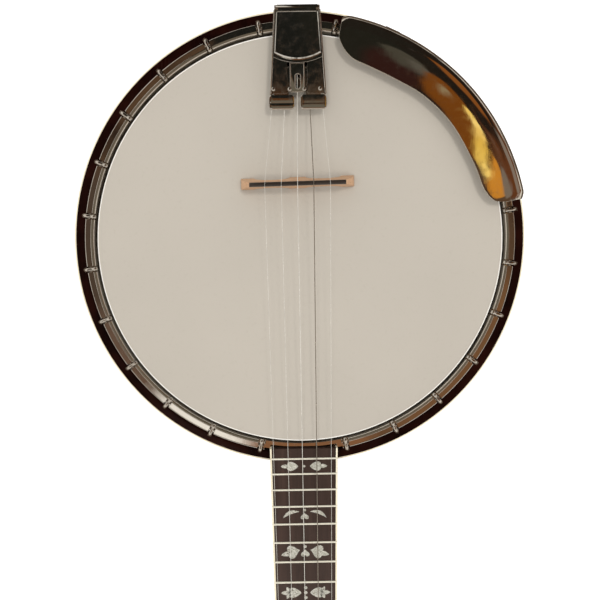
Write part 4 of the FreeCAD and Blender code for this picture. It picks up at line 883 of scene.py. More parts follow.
def makeTailpiece(values):
    low, top, sheet = lowest("tailpiece_frame"), values["deckTop"], values["sheet"]
    base = low + values["wallDrop"]
    hingeY, hingeZ = values["hinge"]
    parts = []
    for side in (1, -1):
        for places, height in (((97.0, 110.0, 125.0, 140.0, 150.0), top), ((149.9, 154.0), hingeZ)):
            plan = [(side * tailHalf(y), y) for y in places]
            plan += [(side * (tailHalf(y) - sheet), y) for y in reversed(places)]
            parts.append(slab(plan, base, height))
        ends = [(side * (tailHalf(hingeY) - inset), hingeY, hingeZ) for inset in (sheet, 0)]
        parts.append(rodBetween(*ends, 2.05, 28))
    parts.append(slab([(side * tailHalf(y), y) for side, y in ((-1, 100), (1, 100), (1, 153.9),
                                                               (-1, 153.9))],
                      base, base + sheet))
    parts.append(slab([(-9, 152.6), (9, 152.6), (9, 154), (-9, 154)], low, base + 0.8))
    left, right = values["gaps"]
    half = values["gapHalf"]
    front, rear = (tailHalf(y) - 0.9 for y in (97.5, 126))
    for plan in ([(-front, 97.5), (left - half, 97.5), (left - half, 126), (-rear, 126)],
                 [(right + half, 97.5), (front, 97.5), (rear, 126), (right + half, 126)]):
        parts.append(slab(plan, top - sheet, top))
    for start, end, roll in values["tabs"]:
        parts.append(pressTab(start, end, roll))
        middle = (start + end) / 2
        stem = [(middle + dx, y) for dx, y in ((-4.4, 94.4), (4.4, 94.4), (5.0, 98.4), (-5.0, 98.4))]
        parts.append(slab(stem, top - sheet, top - 0.12))
    post = lathe([(0, base + 0.5), (0.95, base + 0.5), (0.95, top + 0.1), (1.3, top + 0.25),
                  (1.35, top + 0.7), (1.05, top + 1.05), (0.5, top + 1.2), (0, top + 1.22)], 18)
    anchor = lathe([(0, base + 1), (1.0, base + 1), (1.0, base + 3.4), (0.75, base + 3.8),
                    (0.75, base + 4.6), (1.15, base + 5.0), (0.9, base + 5.5), (0, base + 5.6)], 16)
    spots = [(post, x, y) for x, y in values["posts"]] + [(anchor, x, values["anchorY"])
                                                          for x in values["anchors"]]
    for part, x, y in spots:
        parts.append(carry(part, lambda a, b, c: (a + x, b + y, c)))
    frame = settleModifiers(bevel(meshObject("tailpieceFrame", *joined(parts)), 0.45, 3, 50))
    rails = []
    for side in (1, -1):
        line = [(side * (tailHalf(y) - 0.3), y, top - 0.15) for y in (97.6, 110, 125, 140, 150.4)]
        rails.append(tube(line, 0.66, 14))
    for x in (-5.0, 4.0):
        rails.append(tube([(x, y, top - 0.85) for y in (99.2, 106, 114, 121)], 0.45, 12))
    place(meshObject("tailpieceRails", *joined(rails), sharp=60), "banjo", "nickel_tailpiece")
    place(frame, "banjo", "nickel_tailpiece", "tailpiece_frame")
    web = slab([(-4.9, 98.6), (3.9, 98.6), (4.1, 122), (-5.1, 122)], top - 2.1, top - 0.75)
    x, startY, endY, r = values["slot"]
    oval, rim = (arcPoints((x, endY), reach, 0, 180, 10) + arcPoints((x, startY), reach, 180, 360, 10)
                 for reach in (r, r + 0.25))
    webPiece = settleModifiers(bevel(meshObject("tailpieceWeb", *web), 0.3))
    carve(webPiece, [meshObject("webSlot", *slab(oval, top - 4, top + 2))])
    place(webPiece, "banjo", "nickel_tailpiece")
    rings = []
    for turn in spaced(0, 2 * pi, 10)[:-1]:
        rings.append([(px, py, top - 0.72 + 0.42 * sin(turn)) for px, py in inward(rim, -0.42 * cos(turn))])
    place(meshObject("webSlotRim", *loft(rings, caps=False, wrap=True)), "banjo", "nickel_tailpiece")
    lip = [(x, 117.0 + 4.0 * (x / 16.6) ** 2) for x in spaced(-16.6, 16.6, 24)]
    lip += [(x, y + 3.0) for x, y in reversed(lip)]
    edge = settleModifiers(bevel(meshObject("tailpieceLip", *slab(lip, top - 0.3, top + 0.24)), 0.2))
    place(edge, "banjo", "nickel_tailpiece")


lidSet = dict(frontY=119.0, sag=4.0, rearY=148.7, inset=1.5, low=101.9, chamfer=0.62, dome=420.0,
              barrel=2.05, barrelHalf=12.9, middleY=135.5, middleX=16.0)


def makeLid(values):
    top, low, frontY, rearY = highest("tailpiece_lid"), values["low"], values["frontY"], values["rearY"]
    cornerY, middleY, middleX = frontY + values["sag"], values["middleY"], values["middleX"]
    frontHalf, rearHalf = tailHalf(cornerY) - values["inset"], tailHalf(rearY) - values["inset"]
    outline = [(x, frontY + values["sag"] * (x / frontHalf) ** 2) for x in spaced(-frontHalf, frontHalf, 16)]
    right = [(frontHalf + (rearHalf - frontHalf) * t, cornerY + (rearY - cornerY) * t)
             for t in spaced(0, 1, 8)[1:]]
    outline += right + [(x, rearY) for x in spaced(rearHalf, -rearHalf, 16)[1:]]
    outline += [(-x, y) for x, y in reversed(right[:-1])]

    def crown(x):
        return top - x * x / (2 * values["dome"])

    def ring(inset, z=None, drop=0.0):
        points = []
        for x, y in outline:
            nx, ny = x * (1 - inset / frontHalf), middleY + (y - middleY) * (1 - inset / middleX)
            points.append((nx, ny, crown(nx) - drop if z is None else z))
        return points

    chamfer = values["chamfer"]
    rings = [ring(12.5, low), ring(0.4, low), ring(0.0, low + 0.12), ring(0.0, None, chamfer * 0.8),
             ring(chamfer)]
    rings += [ring(inset) for inset in (1.6, 3.5, 6.0, 9.0, 12.5)]
    parts = [loft(rings)]
    y, z = tailSet["hinge"]
    half = values["barrelHalf"]
    parts.append(rodBetween((-half, y, z), (half, y, z), values["barrel"], 32))
    parts.append(slab([(-12.3, 149.5), (12.3, 149.5), (12.3, 151.4), (-12.3, 151.4)], z, low + 0.5))
    ridge = [(-14.0, 150.2), (14.0, 150.2), (13.9, 152.6), (13.0, 153.5), (-13.0, 153.5), (-13.9, 152.6)]
    parts.append(plate(ridge, z + 2.2, top - 1.6, 0.22, lambda a, b, c: (a, b, c)))
    parts.append(tube([(x, rearY - 0.1, crown(x) - 0.12) for x in (-12.6, -6, 0, 6, 12.6)], 0.42, 12))
    lid = meshObject("tailpieceCover", *joined(parts), sharp=32)
    place(lid, "tailpiece_cover", "nickel_lid", "tailpiece_lid")


makeTailpiece(tailSet)
makeLid(lidSet)
print("tailpiece ready")


# bridge: maple with three feet, dark cap notched for the strings

bridgeSet = dict(y=38.9, x=-1.3, turn=1.0, feet=38.4, top=31.7, seam=105.4, footLow=-1.6, footHigh=6.0,
                 half=1.35, notches=(-22.9, -12.1, -1.4, 9.2, 20.1))


def onBridge(x, y, z):
    turn = radians(bridgeSet["turn"])
    return (bridgeSet["x"] + x * cos(turn) - y * sin(turn), bridgeSet["y"] + x * sin(turn) + y * cos(turn),
            z)


def makeBridge(values):
    low, seam, feet = lowest("bridge_base"), values["seam"], values["feet"]
    outline = [(-feet, low + 0.3), (-feet + 0.3, low)]
    for start in (-feet + 9, 5.5):
        end = start + feet - 14.5
        centre, half = (start + end) / 2, (end - start) / 2
        for t in spaced(0, pi, 16):
            outline.append((centre - half * cos(t), low + 6.6 * sin(t) ** 0.85))
    flank = [(feet - 0.2, low + 3.0), (feet - 1.4, low + 6.5), (feet - 3.4, low + 9.4),
             (values["top"] + 0.6, seam - 0.6), (values["top"], seam)]
    outline += [(feet - 0.3, low), (feet, low + 0.3)] + flank + [(-x, z) for x, z in reversed(flank)]
    sides = []
    for start, end in ((values["footLow"], -values["half"]), (values["footHigh"], values["half"])):
        sides.append([onBridge(x, start + (end - start) * (z - low) / (seam - low), z) for x, z in outline])
    base = settleModifiers(bevel(meshObject("bridgeBase", *loft(sides)), 0.28, 3))
    place(base, "banjo", "bridge_maple", "bridge_base")
    top, half, reach = highest("bridge_cap"), values["half"], values["top"]
    stations = [(-reach, 0.35), (-reach + 0.4, 0.0)]
    for x in values["notches"]:
        local = x - values["x"]
        stations += [(local - 0.42, 0.0), (local - 0.22, 0.62), (local + 0.22, 0.62), (local + 0.42, 0.0)]
    stations += [(reach - 0.4, 0.0), (reach, 0.35)]
    rings = []
    for x, cut in stations:
        section = [(-half, seam), (-half, top - 0.75), (-half + 0.3, top - 0.28), (-0.6, top), (0.6, top),
                   (half - 0.3, top - 0.28), (half, top - 0.75), (half, seam)]
        rings.append([onBridge(x, y, min(z, top - cut)) for y, z in section])
    place(meshObject("bridgeCap", *loft(rings)), "banjo", "ebony", "bridge_cap")


makeBridge(bridgeSet)
print("bridge ready")


# fingerboard, its binding, frets and inlays, along the sloping line of the neck

neckSet = dict(originY=-152.0, originZ=93.5, slope=atan(0.0439), scale=670.0, frets=22, lastFret=-0.7,
               endS=-8.0, thick=5.2, left=(-23.8, -19.3), right=(23.9, 0.0105), rightNut=12.5,
               step=(320.0, 17.0, 14.3), binding=1.5, groove=0.28)


def neckPoint(x, s, z):
    a = neckSet["slope"]
    return (x, neckSet["originY"] - s * cos(a) - z * sin(a), neckSet["originZ"] - s * sin(a) + z * cos(a))


def fretPlace(number):
    scale = neckSet["scale"]
    return scale * 2 ** (-number / 12) - scale * 2 ** (-neckSet["frets"] / 12) + neckSet["lastFret"]


nutPlace = fretPlace(0)


def boardLeft(s):
    (start, end), origin = neckSet["left"], neckSet["endS"]
    return start + (end - start) * (s - origin) / (nutPlace - origin)


def boardRight(s):
    (wide, taper), (begin, length, narrow) = neckSet["right"], neckSet["step"]
    if s <= begin:
        return wide - taper * s
    if s >= begin + length:
        return narrow + (neckSet["rightNut"] - narrow) * (s - begin - length) / (nutPlace - begin - length)
    share = (1 - cos(pi * (s - begin) / length)) / 2
    return wide - taper * begin + share * (narrow - wide + taper * begin)


def boardStations(start, end):
    begin, length, narrow = neckSet["step"]
    return spaced(start, begin, 12) + spaced(begin, begin + length, 10)[1:] + spaced(begin + length, end,
                                                                                     6)[1:]


def makeBoard(values):
    thick, binding = values["thick"], values["binding"]
    rings = []
    for s in boardStations(values["endS"], nutPlace):
        left, right = boardLeft(s) + binding, boardRight(s) - binding
        rings.append([neckPoint(left, s, -thick), neckPoint(left, s, -0.1), neckPoint(left + 0.1, s, 0),
                      neckPoint(right - 0.1, s, 0), neckPoint(right, s, -0.1), neckPoint(right, s, -thick)])
    board = meshObject("fingerboard", *loft(rings), sharp=30)
    place(board, "banjo", "fretboard_ebony", "fretboard")
    strips = []
    width = binding - values["groove"]
    section = [(0, -thick), (0, -0.35), (0.12, -0.1), (0.35, 0.01), (width, 0.01), (width, -thick)]
    for edge, sign in ((boardLeft, 1), (boardRight, -1)):
        rings = [[neckPoint(edge(s) + sign * x, s, z) for x, z in section]
                 for s in boardStations(values["endS"] + 0.02, nutPlace - 0.02)]
        strips.append(loft(rings))
    place(meshObject("fingerboardBinding", *joined(strips), sharp=30), "banjo", "cream_binding",
          "fretboard_binding")


def fretTree():
    # one fret copied to every place of the scale and stretched to the board's width there
    tree, given = newTree("fretRow", [("Count", "Int", 22), ("Scale", "Float", 0.67),
                                      ("Shift", "Float", 0.0), ("Wide Right", "Float", 0.02),
                                      ("Narrow Right", "Float", 0.01), ("Slope", "Float", 0.04),
                                      ("Start Y", "Float", 0.0), ("Start Z", "Float", 0.0),
                                      ("Finish", "Material", None)])
    points = addNode(tree, "GeometryNodePoints", Count=given["Count"])
    number = calc(tree, "ADD", tree.nodes.new("GeometryNodeInputIndex").outputs[0], 1)
    reach = calc(tree, "POWER", 2.0, calc(tree, "DIVIDE", number, -12))
    s = calc(tree, "MULTIPLY_ADD", given["Scale"], reach, given["Shift"])
    left = calc(tree, "MULTIPLY_ADD", s, (neckSet["left"][1] - neckSet["left"][0]) / (nutPlace
                                                                                      - neckSet["endS"]),
                (boardLeft(0) + 0.3) * mm)
    wide = calc(tree, "MULTIPLY_ADD", s, -neckSet["right"][1], given["Wide Right"])
    begin, length, narrow = neckSet["step"]
    slim = calc(tree, "MULTIPLY_ADD", s, (neckSet["rightNut"] - narrow) / (nutPlace - begin - length),
                given["Narrow Right"])
    isSlim = calc(tree, "GREATER_THAN", s, (begin + length / 2) * mm)
    right = calc(tree, "MULTIPLY_ADD", isSlim, calc(tree, "SUBTRACT", slim, wide), wide)
    y = calc(tree, "MULTIPLY_ADD", s, -cos(neckSet["slope"]), given["Start Y"])
    z = calc(tree, "MULTIPLY_ADD", s, -sin(neckSet["slope"]), given["Start Z"])
    move = addNode(tree, "GeometryNodeSetPosition", Geometry=points.outputs[0],
                   Position=combine(tree, left, y, z))
    width = calc(tree, "DIVIDE", calc(tree, "SUBTRACT", right, left), 48 * mm)
    copies = addNode(tree, "GeometryNodeInstanceOnPoints", Points=move.outputs[0],
                     Instance=given["Geometry"], Scale=combine(tree, width, 1.0, 1.0))
    closeTree(tree, copies.outputs[0], given["Finish"])
    return tree


def makeFrets(values):
    section = [(-0.55, 0.02), (-0.53, 0.5), (-0.42, 0.78), (-0.22, 0.95), (0, 1.0), (0.22, 0.95),
               (0.42, 0.78), (0.53, 0.5), (0.55, 0.02)]
    a = values["slope"]
    rings = []
    for x, squash in ((0.0, 0.25), (0.12, 0.6), (0.45, 0.92), (0.8, 1.0), (47.2, 1.0), (47.55, 0.92),
                      (47.88, 0.6), (48.0, 0.25)):
        rings.append([(x, y * cos(a) - z * squash * sin(a), y * sin(a) + z * squash * cos(a)) for y,
                      z in section])
    fret = meshObject("fretRow", *loft(rings), sharp=60)
    begin, length, narrow = values["step"]
    slimSlope = (values["rightNut"] - narrow) / (nutPlace - begin - length)
    shift = -values["scale"] * 2 ** (-values["frets"] / 12) + values["lastFret"]
    runTree(fret, fretTree(), {"Count": values["frets"], "Scale": values["scale"] * mm, "Shift": shift * mm,
                               "Wide Right": (values["right"][0] - 0.3) * mm,
                               "Narrow Right": (narrow - slimSlope * (begin + length) - 0.3) * mm,
                               "Start Y": values["originY"] * mm, "Start Z": values["originZ"] * mm,
                               "Finish": finishes["fret_wire"]}, 60)
    place(fret, "banjo", "fret_wire", "frets")


def leaf(x, s, length, width, turn, bend=0.0):
    # pointed leaf, bent along an arc if asked
    points = []
    for side in (1, -1):
        for k in range(12):
            t = k / 12 if side > 0 else 1 - k / 12
            along = (t - 0.5) * length
            across = side * width / 2 * sin(pi * t) ** 0.8 + bend * (1 - (2 * t - 1) ** 2)
            points.append((along, across))
    return spun(points, x, s, turn)


def heart(x, s, size, turn):
    points = []
    for t in spaced(0, 2 * pi, 28)[:-1]:
        points.append((size * (13 * cos(t) - 5 * cos(2 * t) - 2 * cos(3 * t) - cos(4 * t)) / 32,
                       size * 16 * sin(t) ** 3 / 32))
    return spun(points, x, s, turn)


def bloom(x, s, size, turn, petals=3, depth=0.3):
    points = []
    for t in spaced(0, 2 * pi, 36)[:-1]:
        r = size / 2 * (1 - depth + depth * abs(cos(petals * t / 2)) ** 0.7)
        points.append((r * cos(t), r * sin(t)))
    return spun(points, x, s, turn)


def spade(x, s, length, width, turn):
    # rounded at one end, pointed at the other
    points = []
    for side in (1, -1):
        for k in range(14):
            t = k / 14 if side > 0 else 1 - k / 14
            points.append(((0.5 - t) * length, side * width / 2 * sin(pi * t ** 0.62) ** 0.72))
    return spun(points, x, s, turn)


def spun(points, x, s, turn):
    c, d = cos(radians(turn)), sin(radians(turn))
    return [(x + px * c - py * d, s + px * d + py * c) for px, py in points]


inlaySet = {22: "leaf", 19: "sprig", 17: "heart", 15: "bloom", 12: "sprig", 10: "leaf", 7: "heart",
            5: "bloom", 3: "leaf"}


def makeInlays(values):
    shapes = []
    for number, kind in values.items():
        s = (fretPlace(number) + fretPlace(number - 1)) / 2
        size = min(1.25, (fretPlace(number - 1) - fretPlace(number)) / 11.5)
        middle = (boardLeft(s) + boardRight(s)) / 2
        for side in (1, -1):
            x = middle + side * 9.6
            facing = 0 if side > 0 else 180
            if kind == "leaf":
                shapes += [spade(x - side * 1.4, s, 8.4 * size, 7.0 * size, facing)]
                shapes.append(spade(x + side * 4.4, s, 5.0 * size, 3.0 * size, facing + 180))
            elif kind == "sprig":
                shapes.append(leaf(x, s - 0.2 * size, 11.0 * size, 2.3 * size, side * 22, -1.7 * size))
            elif kind == "heart":
                shapes.append(heart(x - side * 0.8, s - 0.3, 8.2 * size, facing + side * 14))
                shapes.append(spade(x + side * 4.6, s + 1.2 * size, 5.0 * size, 3.0 * size,
                                    facing + 180 + side * 14))
            else:
                shapes.append(spade(x - side * 1.6, s, 7.6 * size, 6.4 * size, facing))
                for turn, reach in ((0, 4.2), (62, 3.0), (-62, 3.0)):
                    a = radians(turn)
                    shapes.append(spade(x + side * (1.6 + reach * cos(a)), s + reach * sin(a) * 0.85,
                                        4.2 * size, 2.6 * size, facing + 180 + side * turn))
        if kind in ("sprig", "heart"):
            shapes.append(heart(middle, s + 0.9 * size, 5.0 * size, 90))
            shapes.append(bloom(middle, s - 3.3 * size, 1.8 * size, 0, 6, 0.05))
        elif kind == "leaf":
            shapes.append(bloom(middle, s, 1.9 * size, 0, 4, 0.1))
        else:
            for step in (-3.1, 0.0, 3.1):
                shapes.append(bloom(middle, s + step * size, 2.0 * size, 0, 6, 0.05))
    parts = [carry(slab(shape, -0.4, 0.035), neckPoint) for shape in shapes]
    place(meshObject("fingerboardInlays", *joined(parts), sharp=30), "banjo", "pearl",
          "fret_inlays")


makeBoard(neckSet)
makeFrets(neckSet)
makeInlays(inlaySet)
print("fingerboard ready")


# neck: round-backed shaft, heel against the pot and headstock core

neckShape = dict(shaft=((84, 23.3), (200, 23.0), (320, 22.0), (337, 21.2), (486, 20.5)),
                 heel=((-16, 71), (-6, 71), (4, 70.4), (14, 67), (20, 60), (26, 51.5), (32, 44), (38, 38.4),
                       (44, 34), (52, 29.6), (60, 26.9), (72, 24.6), (84, 23.3)),
                 potR=139.8, underHoopR=148.3, underHoopZ=73.0, power=2.1)


def neckRing(s, depth, grow=0.0, count=24):
    top = -neckSet["thick"] - 0.05 + grow
    left, right = boardLeft(s) - grow, boardRight(s) + grow
    middle, half = (left + right) / 2, (right - left) / 2
    ring = []
    power = 2 / neckShape["power"]
    for t in spaced(0, pi, count):
        c, d = cos(t), sin(t)
        x = middle + half * abs(c) ** power * (1 if c > 0 else -1)
        ring.append(neckPoint(x, s, top - (depth + grow + top) * abs(d) ** power))
    return ring


def neckDepth(s):
    table = neckShape["heel"] + neckShape["shaft"][1:]
    for (a, low), (b, high) in zip(table, table[1:]):
        if s <= b:
            return low + (high - low) * max(0.0, s - a) / (b - a)
    return table[-1][1]


def heelCutter(grow):
    rings = [neckRing(s, neckDepth(s), grow) for s in (-30, -16, -6, 4, 14, 20, 26, 32, 38, 44)]
    return meshObject("heelCutter", *loft(rings))


headSetting = dict(pitch=radians(10.5), middle=-3.4, drop=2.4, wood=12.4, overlay=1.6,
                   outline=((16.2, 8), (17.6, 13), (20.5, 20), (26.2, 27), (31.5, 34), (33.0, 43),
                            (32.5, 52), (29.2, 66), (26.6, 80), (27.4, 96), (29.5, 112), (29.8, 124),
                            (28, 134), (23.5, 144), (17, 152), (9, 161), (0, 166)),
                   tuners=((-19.0, 44.0), (-15.5, 108.0), (15.5, 108.0), (19.0, 44.0)))


def headPoint(x, s, z):
    h = headSetting["pitch"]
    return neckPoint(x + headSetting["middle"], nutPlace + 5 + s * cos(h) + z * sin(h),
                     z * cos(h) - s * sin(h) - headSetting["drop"])


def headOutline(inset, start):
    return inward(mirrored(smoothLine([(16.6, start), *headSetting["outline"]], 5)), inset)


def makeNeck(values):
    begin, length, narrow = neckSet["step"]
    stations = [s for s, depth in values["heel"]] + list(range(100, 320, 20)) + spaced(begin,
                                                                                       begin + length, 8)
    stations += [345, 370, 400, 430, 460, 478, 486]
    rings = [neckRing(s, neckDepth(s)) for s in stations]
    shaft = meshObject("neckShaft", *loft(rings), sharp=50)
    cutters = []
    for radius, low in ((values["potR"], -5), (values["underHoopR"], values["underHoopZ"])):
        cutters.append(meshObject("potCut", *slab(arcPoints((0, 0), radius, 0, 359, 160), low, 130)))
    carve(shaft, cutters)
    place(shaft, "banjo", "neck_walnut", "neck")
    veneer = -headSetting["overlay"]
    core = plate(headOutline(0, -2.0), veneer - headSetting["wood"], veneer - 0.03, 1.6, headPoint)
    place(meshObject("headstockCore", *core, sharp=50), "banjo", "neck_walnut")
    volute = []
    for t in spaced(0, 1, 12):
        swell = sin(pi * t) ** 2
        volute.append([neckPoint(headSetting["middle"] + (7.5 + 6.5 * swell) * cos(a), 462 + 40.8 * t,
                                 -12.5 - (5.0 + 5.2 * swell) * sin(a)) for a in spaced(0, pi, 16)])
    place(meshObject("neckVolute", *loft(volute), sharp=60), "banjo", "neck_walnut")
    overlay = plate(headOutline(0.05, 0.8), veneer, 0.0, 0.45, headPoint)
    place(meshObject("headstockOverlay", *overlay, sharp=50), "banjo", "headstock_black",
          "headstock_overlay")


makeNeck(neckShape)
print("neck ready")


# nuts, truss cover and its screws

nutSet = dict(slots=(-16.1, -7.9, 0.3, 8.5), slotHalf=0.45, slotDepth=0.55, fifth=(17.6, 318.5),
              coverTop=1.55, section=((0.05, -5.1), (0.05, 1.9), (0.6, 2.25), (2.4, 2.1), (4.2, 1.5),
                                      (4.95, 0.8), (4.95, -5.1)),
              cover=((9.0, 1.2), (9.0, 3), (8.2, 16), (4.6, 29), (4.4, 35), (5.2, 40), (3.6, 44.0),
                     (0, 45.0)),
              screws=((-6.0, 6.5), (6.0, 6.5), (0.0, 41.2)), screwR=1.9)


def roundScrew(x, s, z, radius):
    # domed head, dished in the middle
    head = lathe([(0, z), (radius, z), (radius, z + 0.25), (radius * 0.85, z + 0.62),
                  (radius * 0.45, z + 0.82), (radius * 0.3, z + 0.5), (0, z + 0.45)], 24)
    return carry(head, lambda a, b, c: headPoint(x + a, s + b, c))


def makeNutAndCover(values):
    rings = []
    for x in spaced(boardLeft(nutPlace) + 0.02, boardRight(nutPlace) - 0.02, 40):
        near = min(abs(x - slot) for slot in values["slots"])
        dip = values["slotDepth"] if near < values["slotHalf"] else 0.0
        rings.append([neckPoint(x, nutPlace + s, z - dip if z > 0 else z) for s, z in values["section"]])
    place(meshObject("stringNut", *loft(rings), sharp=40), "banjo", "bone", "nut")
    post = lathe([(0, -1.5), (1.9, -1.5), (1.9, 1.6), (1.65, 2.15), (0.6, 2.2), (0.35, 1.95), (0, 1.9)], 24)
    fifthX, fifthS = values["fifth"]
    fifth = carry(post, lambda a, b, c: neckPoint(fifthX + a, fifthS + b, c))
    place(meshObject("fifthStringNut", *fifth, sharp=40), "banjo", "bone", "fifth_string_nut")
    cover = plate(mirrored(smoothLine(values["cover"], 6)), 0.03, values["coverTop"], 0.4, headPoint)
    place(meshObject("trussCover", *cover, sharp=50), "banjo", "black_plastic", "truss_rod_cover")
    screws = [roundScrew(x, s, values["coverTop"], values["screwR"]) for x, s in values["screws"]]
    place(meshObject("trussCoverScrews", *joined(screws), sharp=40), "banjo", "nickel",
          "truss_cover_screws")


makeNutAndCover(nutSet)


# tuners: pearl buttons, turned housings, hexagon bushings and wound posts

tunerSet = dict(postR=3.0, waist=2.55, back=-14.0, housingR=9.2, housingH=10.0, gap=0.8, knobH=9.5,
                knob=(10.5, 7.6), wrapTurns=4, wire=0.42, wrapZ=11.2, holeZ=16.9, holeR=0.7)


def helixTree():
    # wire wound round a post, from a spiral of few turns
    tree, given = newTree("wireTurns", [("Turns", "Float", 4.0), ("Radius", "Float", 0.003),
                                        ("Height", "Float", 0.004), ("Wire", "Float", 0.0003),
                                        ("Finish", "Material", None)])
    spiral = addNode(tree, "GeometryNodeCurveSpiral", Resolution=26, Rotations=given["Turns"],
                     StartRadius=given["Radius"], EndRadius=given["Radius"], Height=given["Height"])
    section = addNode(tree, "GeometryNodeCurvePrimitiveCircle", Resolution=8)
    tree.links.new(given["Wire"], section.inputs["Radius"])
    skin = addNode(tree, "GeometryNodeCurveToMesh", Curve=spiral.outputs[0], ProfileCurve=section.outputs[0],
                   FillCaps=True)
    closeTree(tree, skin.outputs[0], given["Finish"])
    return tree


def knobMesh(values, low, high, steps=56):
    # oval button with a waist and dished end
    wide, slim = values["knob"]
    profile = [(0.0, 0.12), (0.55, 0.05), (0.78, 0.0), (0.92, 0.05), (0.985, 0.16), (1.0, 0.3), (0.97, 0.42),
               (0.93, 0.52), (0.90, 0.64), (0.86, 0.76), (0.74, 0.88), (0.55, 0.95), (0.36, 1.0), (0.0, 1.0)]
    return carry(lathe(profile, steps), lambda a, b, c: (a * wide, b * slim, low + (high - low) * c))


def hexRing(size, hexagonal, count=48):
    # round, or a hexagon with its flats at nine tenths of the size
    ring = []
    for t in spaced(0, 2 * pi, count)[:-1]:
        r = size * (0.9 / cos((t + pi / 6) % (pi / 3) - pi / 6) if hexagonal else 1.0)
        ring.append((r * cos(t), r * sin(t)))
    return ring


def makeTuners(values):
    back, height = values["back"], values["housingH"]
    housings, bushings = [], []
    wire = helixTree()
    for number, (x, s) in enumerate(headSetting["tuners"], 1):
        def at(a, b, c, x=x, s=s):
            return headPoint(x + a, s - b, c)
        low = back - height - values["gap"] - values["knobH"]
        knob = meshObject("tunerButton%d" % number, *carry(knobMesh(values, low, low + values["knobH"]),
                                                           at), sharp=60)
        place(knob, "tuner_%d_knob" % number, "pearl_plastic", "tuner_%d_button" % number)
        r = values["housingR"]
        shell = [(2.1, back - 0.05), (r, back - 0.05), (r, back - 1.4), (r - 0.25, back - 1.6),
                 (r - 0.25, back - 2.1), (r, back - 2.3), (r, back - height + 1.6),
                 (r - 0.35, back - height + 0.7), (r - 1.1, back - height + 0.15), (r - 2.4, back - height),
                 (4.6, back - height), (4.3, back - height - 0.25), (2.4, back - height - 0.3),
                 (2.1, back - height - 0.1)]
        housings.append(carry(lathe(shell, 56, solid=False), at))
        bore = values["postR"] + 0.1
        levels = ((bore, 0.02, False), (6.5, 0.02, True), (6.6, 0.3, True), (6.6, 1.7, True),
                  (6.1, 2.1, True), (5.0, 2.6, False), (4.2, 2.75, False), (bore, 2.75, False))
        rings = [[at(px, py, z) for px, py in hexRing(size, hexagonal)] for size, z, hexagonal in levels]
        bushings.append(loft(rings, caps=False, wrap=True))
        postR, waist = values["postR"], values["waist"]
        post = [(0, back - 3.6), (2.6, back - 3.6), (postR, back - 3.2), (postR, 9.2), (2.75, 9.8),
                (waist, 11.0), (waist, 14.4), (2.75, 15.2), (postR, 15.7), (postR, 18.2), (2.7, 18.8),
                (2.1, 19.0), (0, 19.0)]
        postPiece = meshObject("tunerPost%d" % number, *carry(lathe(post, 40), at), sharp=40)
        hole = [headPoint(x + a, s, values["holeZ"]) for a in (-6, 0, 6)]
        carve(postPiece, [meshObject("postHole", *tube(hole, values["holeR"], 16))])
        place(postPiece, "tuner_%d_peg" % number, "nickel", "tuner_%d_post" % number)
        turns = meshObject("stringTurns%d" % number, [(0, 0, 0)], [])
        spiral = {"Turns": float(values["wrapTurns"]), "Radius": (waist + values["wire"]) * mm,
                  "Height": values["wrapTurns"] * values["wire"] * 2.02 * mm, "Wire": values["wire"] * mm,
                  "Finish": finishes["wound_string"]}
        runTree(turns, wire, spiral, 60)
        middle = Vector(at(0, 0, values["wrapZ"]))
        axes = [Vector(at(a, b, values["wrapZ"] + c)) - middle for a, b,
                c in ((1, 0, 0), (0, 1, 0), (0, 0, 1))]
        tilt = Matrix([tuple(axis) for axis in axes]).transposed().to_4x4()
        turns.data.transform(Matrix.Translation(middle * mm) @ tilt)
        place(turns, "tuner_%d_peg" % number, "plain_string")
    place(meshObject("tunerHousings", *joined(housings), sharp=35), "banjo", "nickel",
          "tuner_housings")
    place(meshObject("tunerBushings", *joined(bushings), sharp=25), "banjo", "nickel",
          "tuner_bushings")


makeTuners(tunerSet)


# fifth peg: its button lies across the neck

fifthSet = dict(s=352.0, depth=-10.4, knob=(10.5, 7.6), start=24.5, end=31.7)


def makeFifthPeg(values):
    def at(a, b, c):
        return neckPoint(c, values["s"] + a, values["depth"] + b)
    knob = carry(knobMesh(values, values["end"], values["start"]), at)
    button = meshObject("fifthPegButton", *knob, sharp=60)
    place(button, "fifth_peg", "pearl_plastic", "fifth_peg_button")


makeFifthPeg(fifthSet)
print("tuners ready")


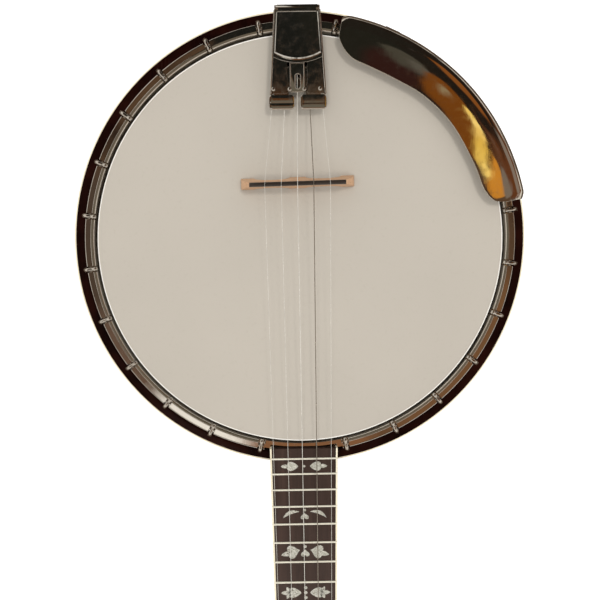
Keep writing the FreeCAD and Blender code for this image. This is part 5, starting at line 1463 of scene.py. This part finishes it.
# resonator: turned bowl with a slot for the heel, bound in cream on both edges

resonatorSet = dict(wall=7.5, back=5.5, flat=122.0, rise=7.0, binding=1.15, bindingH=4.0, soft=0.5,
                    heelRoom=0.35)


def makeResonator(values):
    outer, top = widest("resonator_binding"), highest("resonator_binding")
    inner, flat, rise, back = outer - values["wall"], values["flat"], values["rise"], values["back"]
    width, height, soft = values["binding"], values["bindingH"], values["soft"]
    curve = [(flat + (outer - width - flat) * t, rise * t * t * 0.985) for t in spaced(0, 1, 12)[1:-1]]
    profile = [(0, 0), (40, 0), (80, 0), (flat - 6, 0.0), (flat, 0.04)] + curve
    profile += [(outer - width, rise), (outer - width, rise + height), (outer - 0.04, rise + height),
                (outer - 0.04, 30.0), (outer - 0.04, 46.0), (outer - 0.04, top - height),
                (outer - width, top - height), (outer - width, top - 0.02), (outer - width - 0.6, top),
                (inner + 1.6, top), (inner + soft, top - 0.1), (inner + 0.1, top - 0.5), (inner, top - 1.2),
                (inner, 40), (inner, rise + back + 6)]
    profile += [(inner - 2.5, rise + back + 1.5), (inner - 8, rise + back - 0.8), (flat + 12, back + 1.6),
                (flat, back), (80, back), (0, back)]
    bowl = meshObject("resonatorBowl", *lathe(profile, 240), sharp=42)
    carve(bowl, [heelCutter(values["heelRoom"])])
    place(bowl, "banjo", "walnut_gloss", "resonator_shell")
    bindings = []
    for name, low, lowSoft in (("resonatorBindingTop", top - height, 0.0),
                               ("resonatorBindingBack", rise, 0.5)):
        high = low + height
        section = [(outer - width, low + 0.02), (outer - 0.05, low + 0.02 + lowSoft),
                   (outer, low + 0.3 + lowSoft), (outer, high - 0.45), (outer - 0.12, high - 0.12),
                   (outer - 0.42, high), (outer - width, high)]
        bindings.append(meshObject(name, *lathe(section, 240, solid=False), sharp=50))
    upper, lower = bindings
    carve(upper, [heelCutter(values["heelRoom"])])
    place(upper, "banjo", "cream_binding", "resonator_binding")
    place(lower, "banjo", "cream_binding")


makeResonator(resonatorSet)
print("resonator ready")
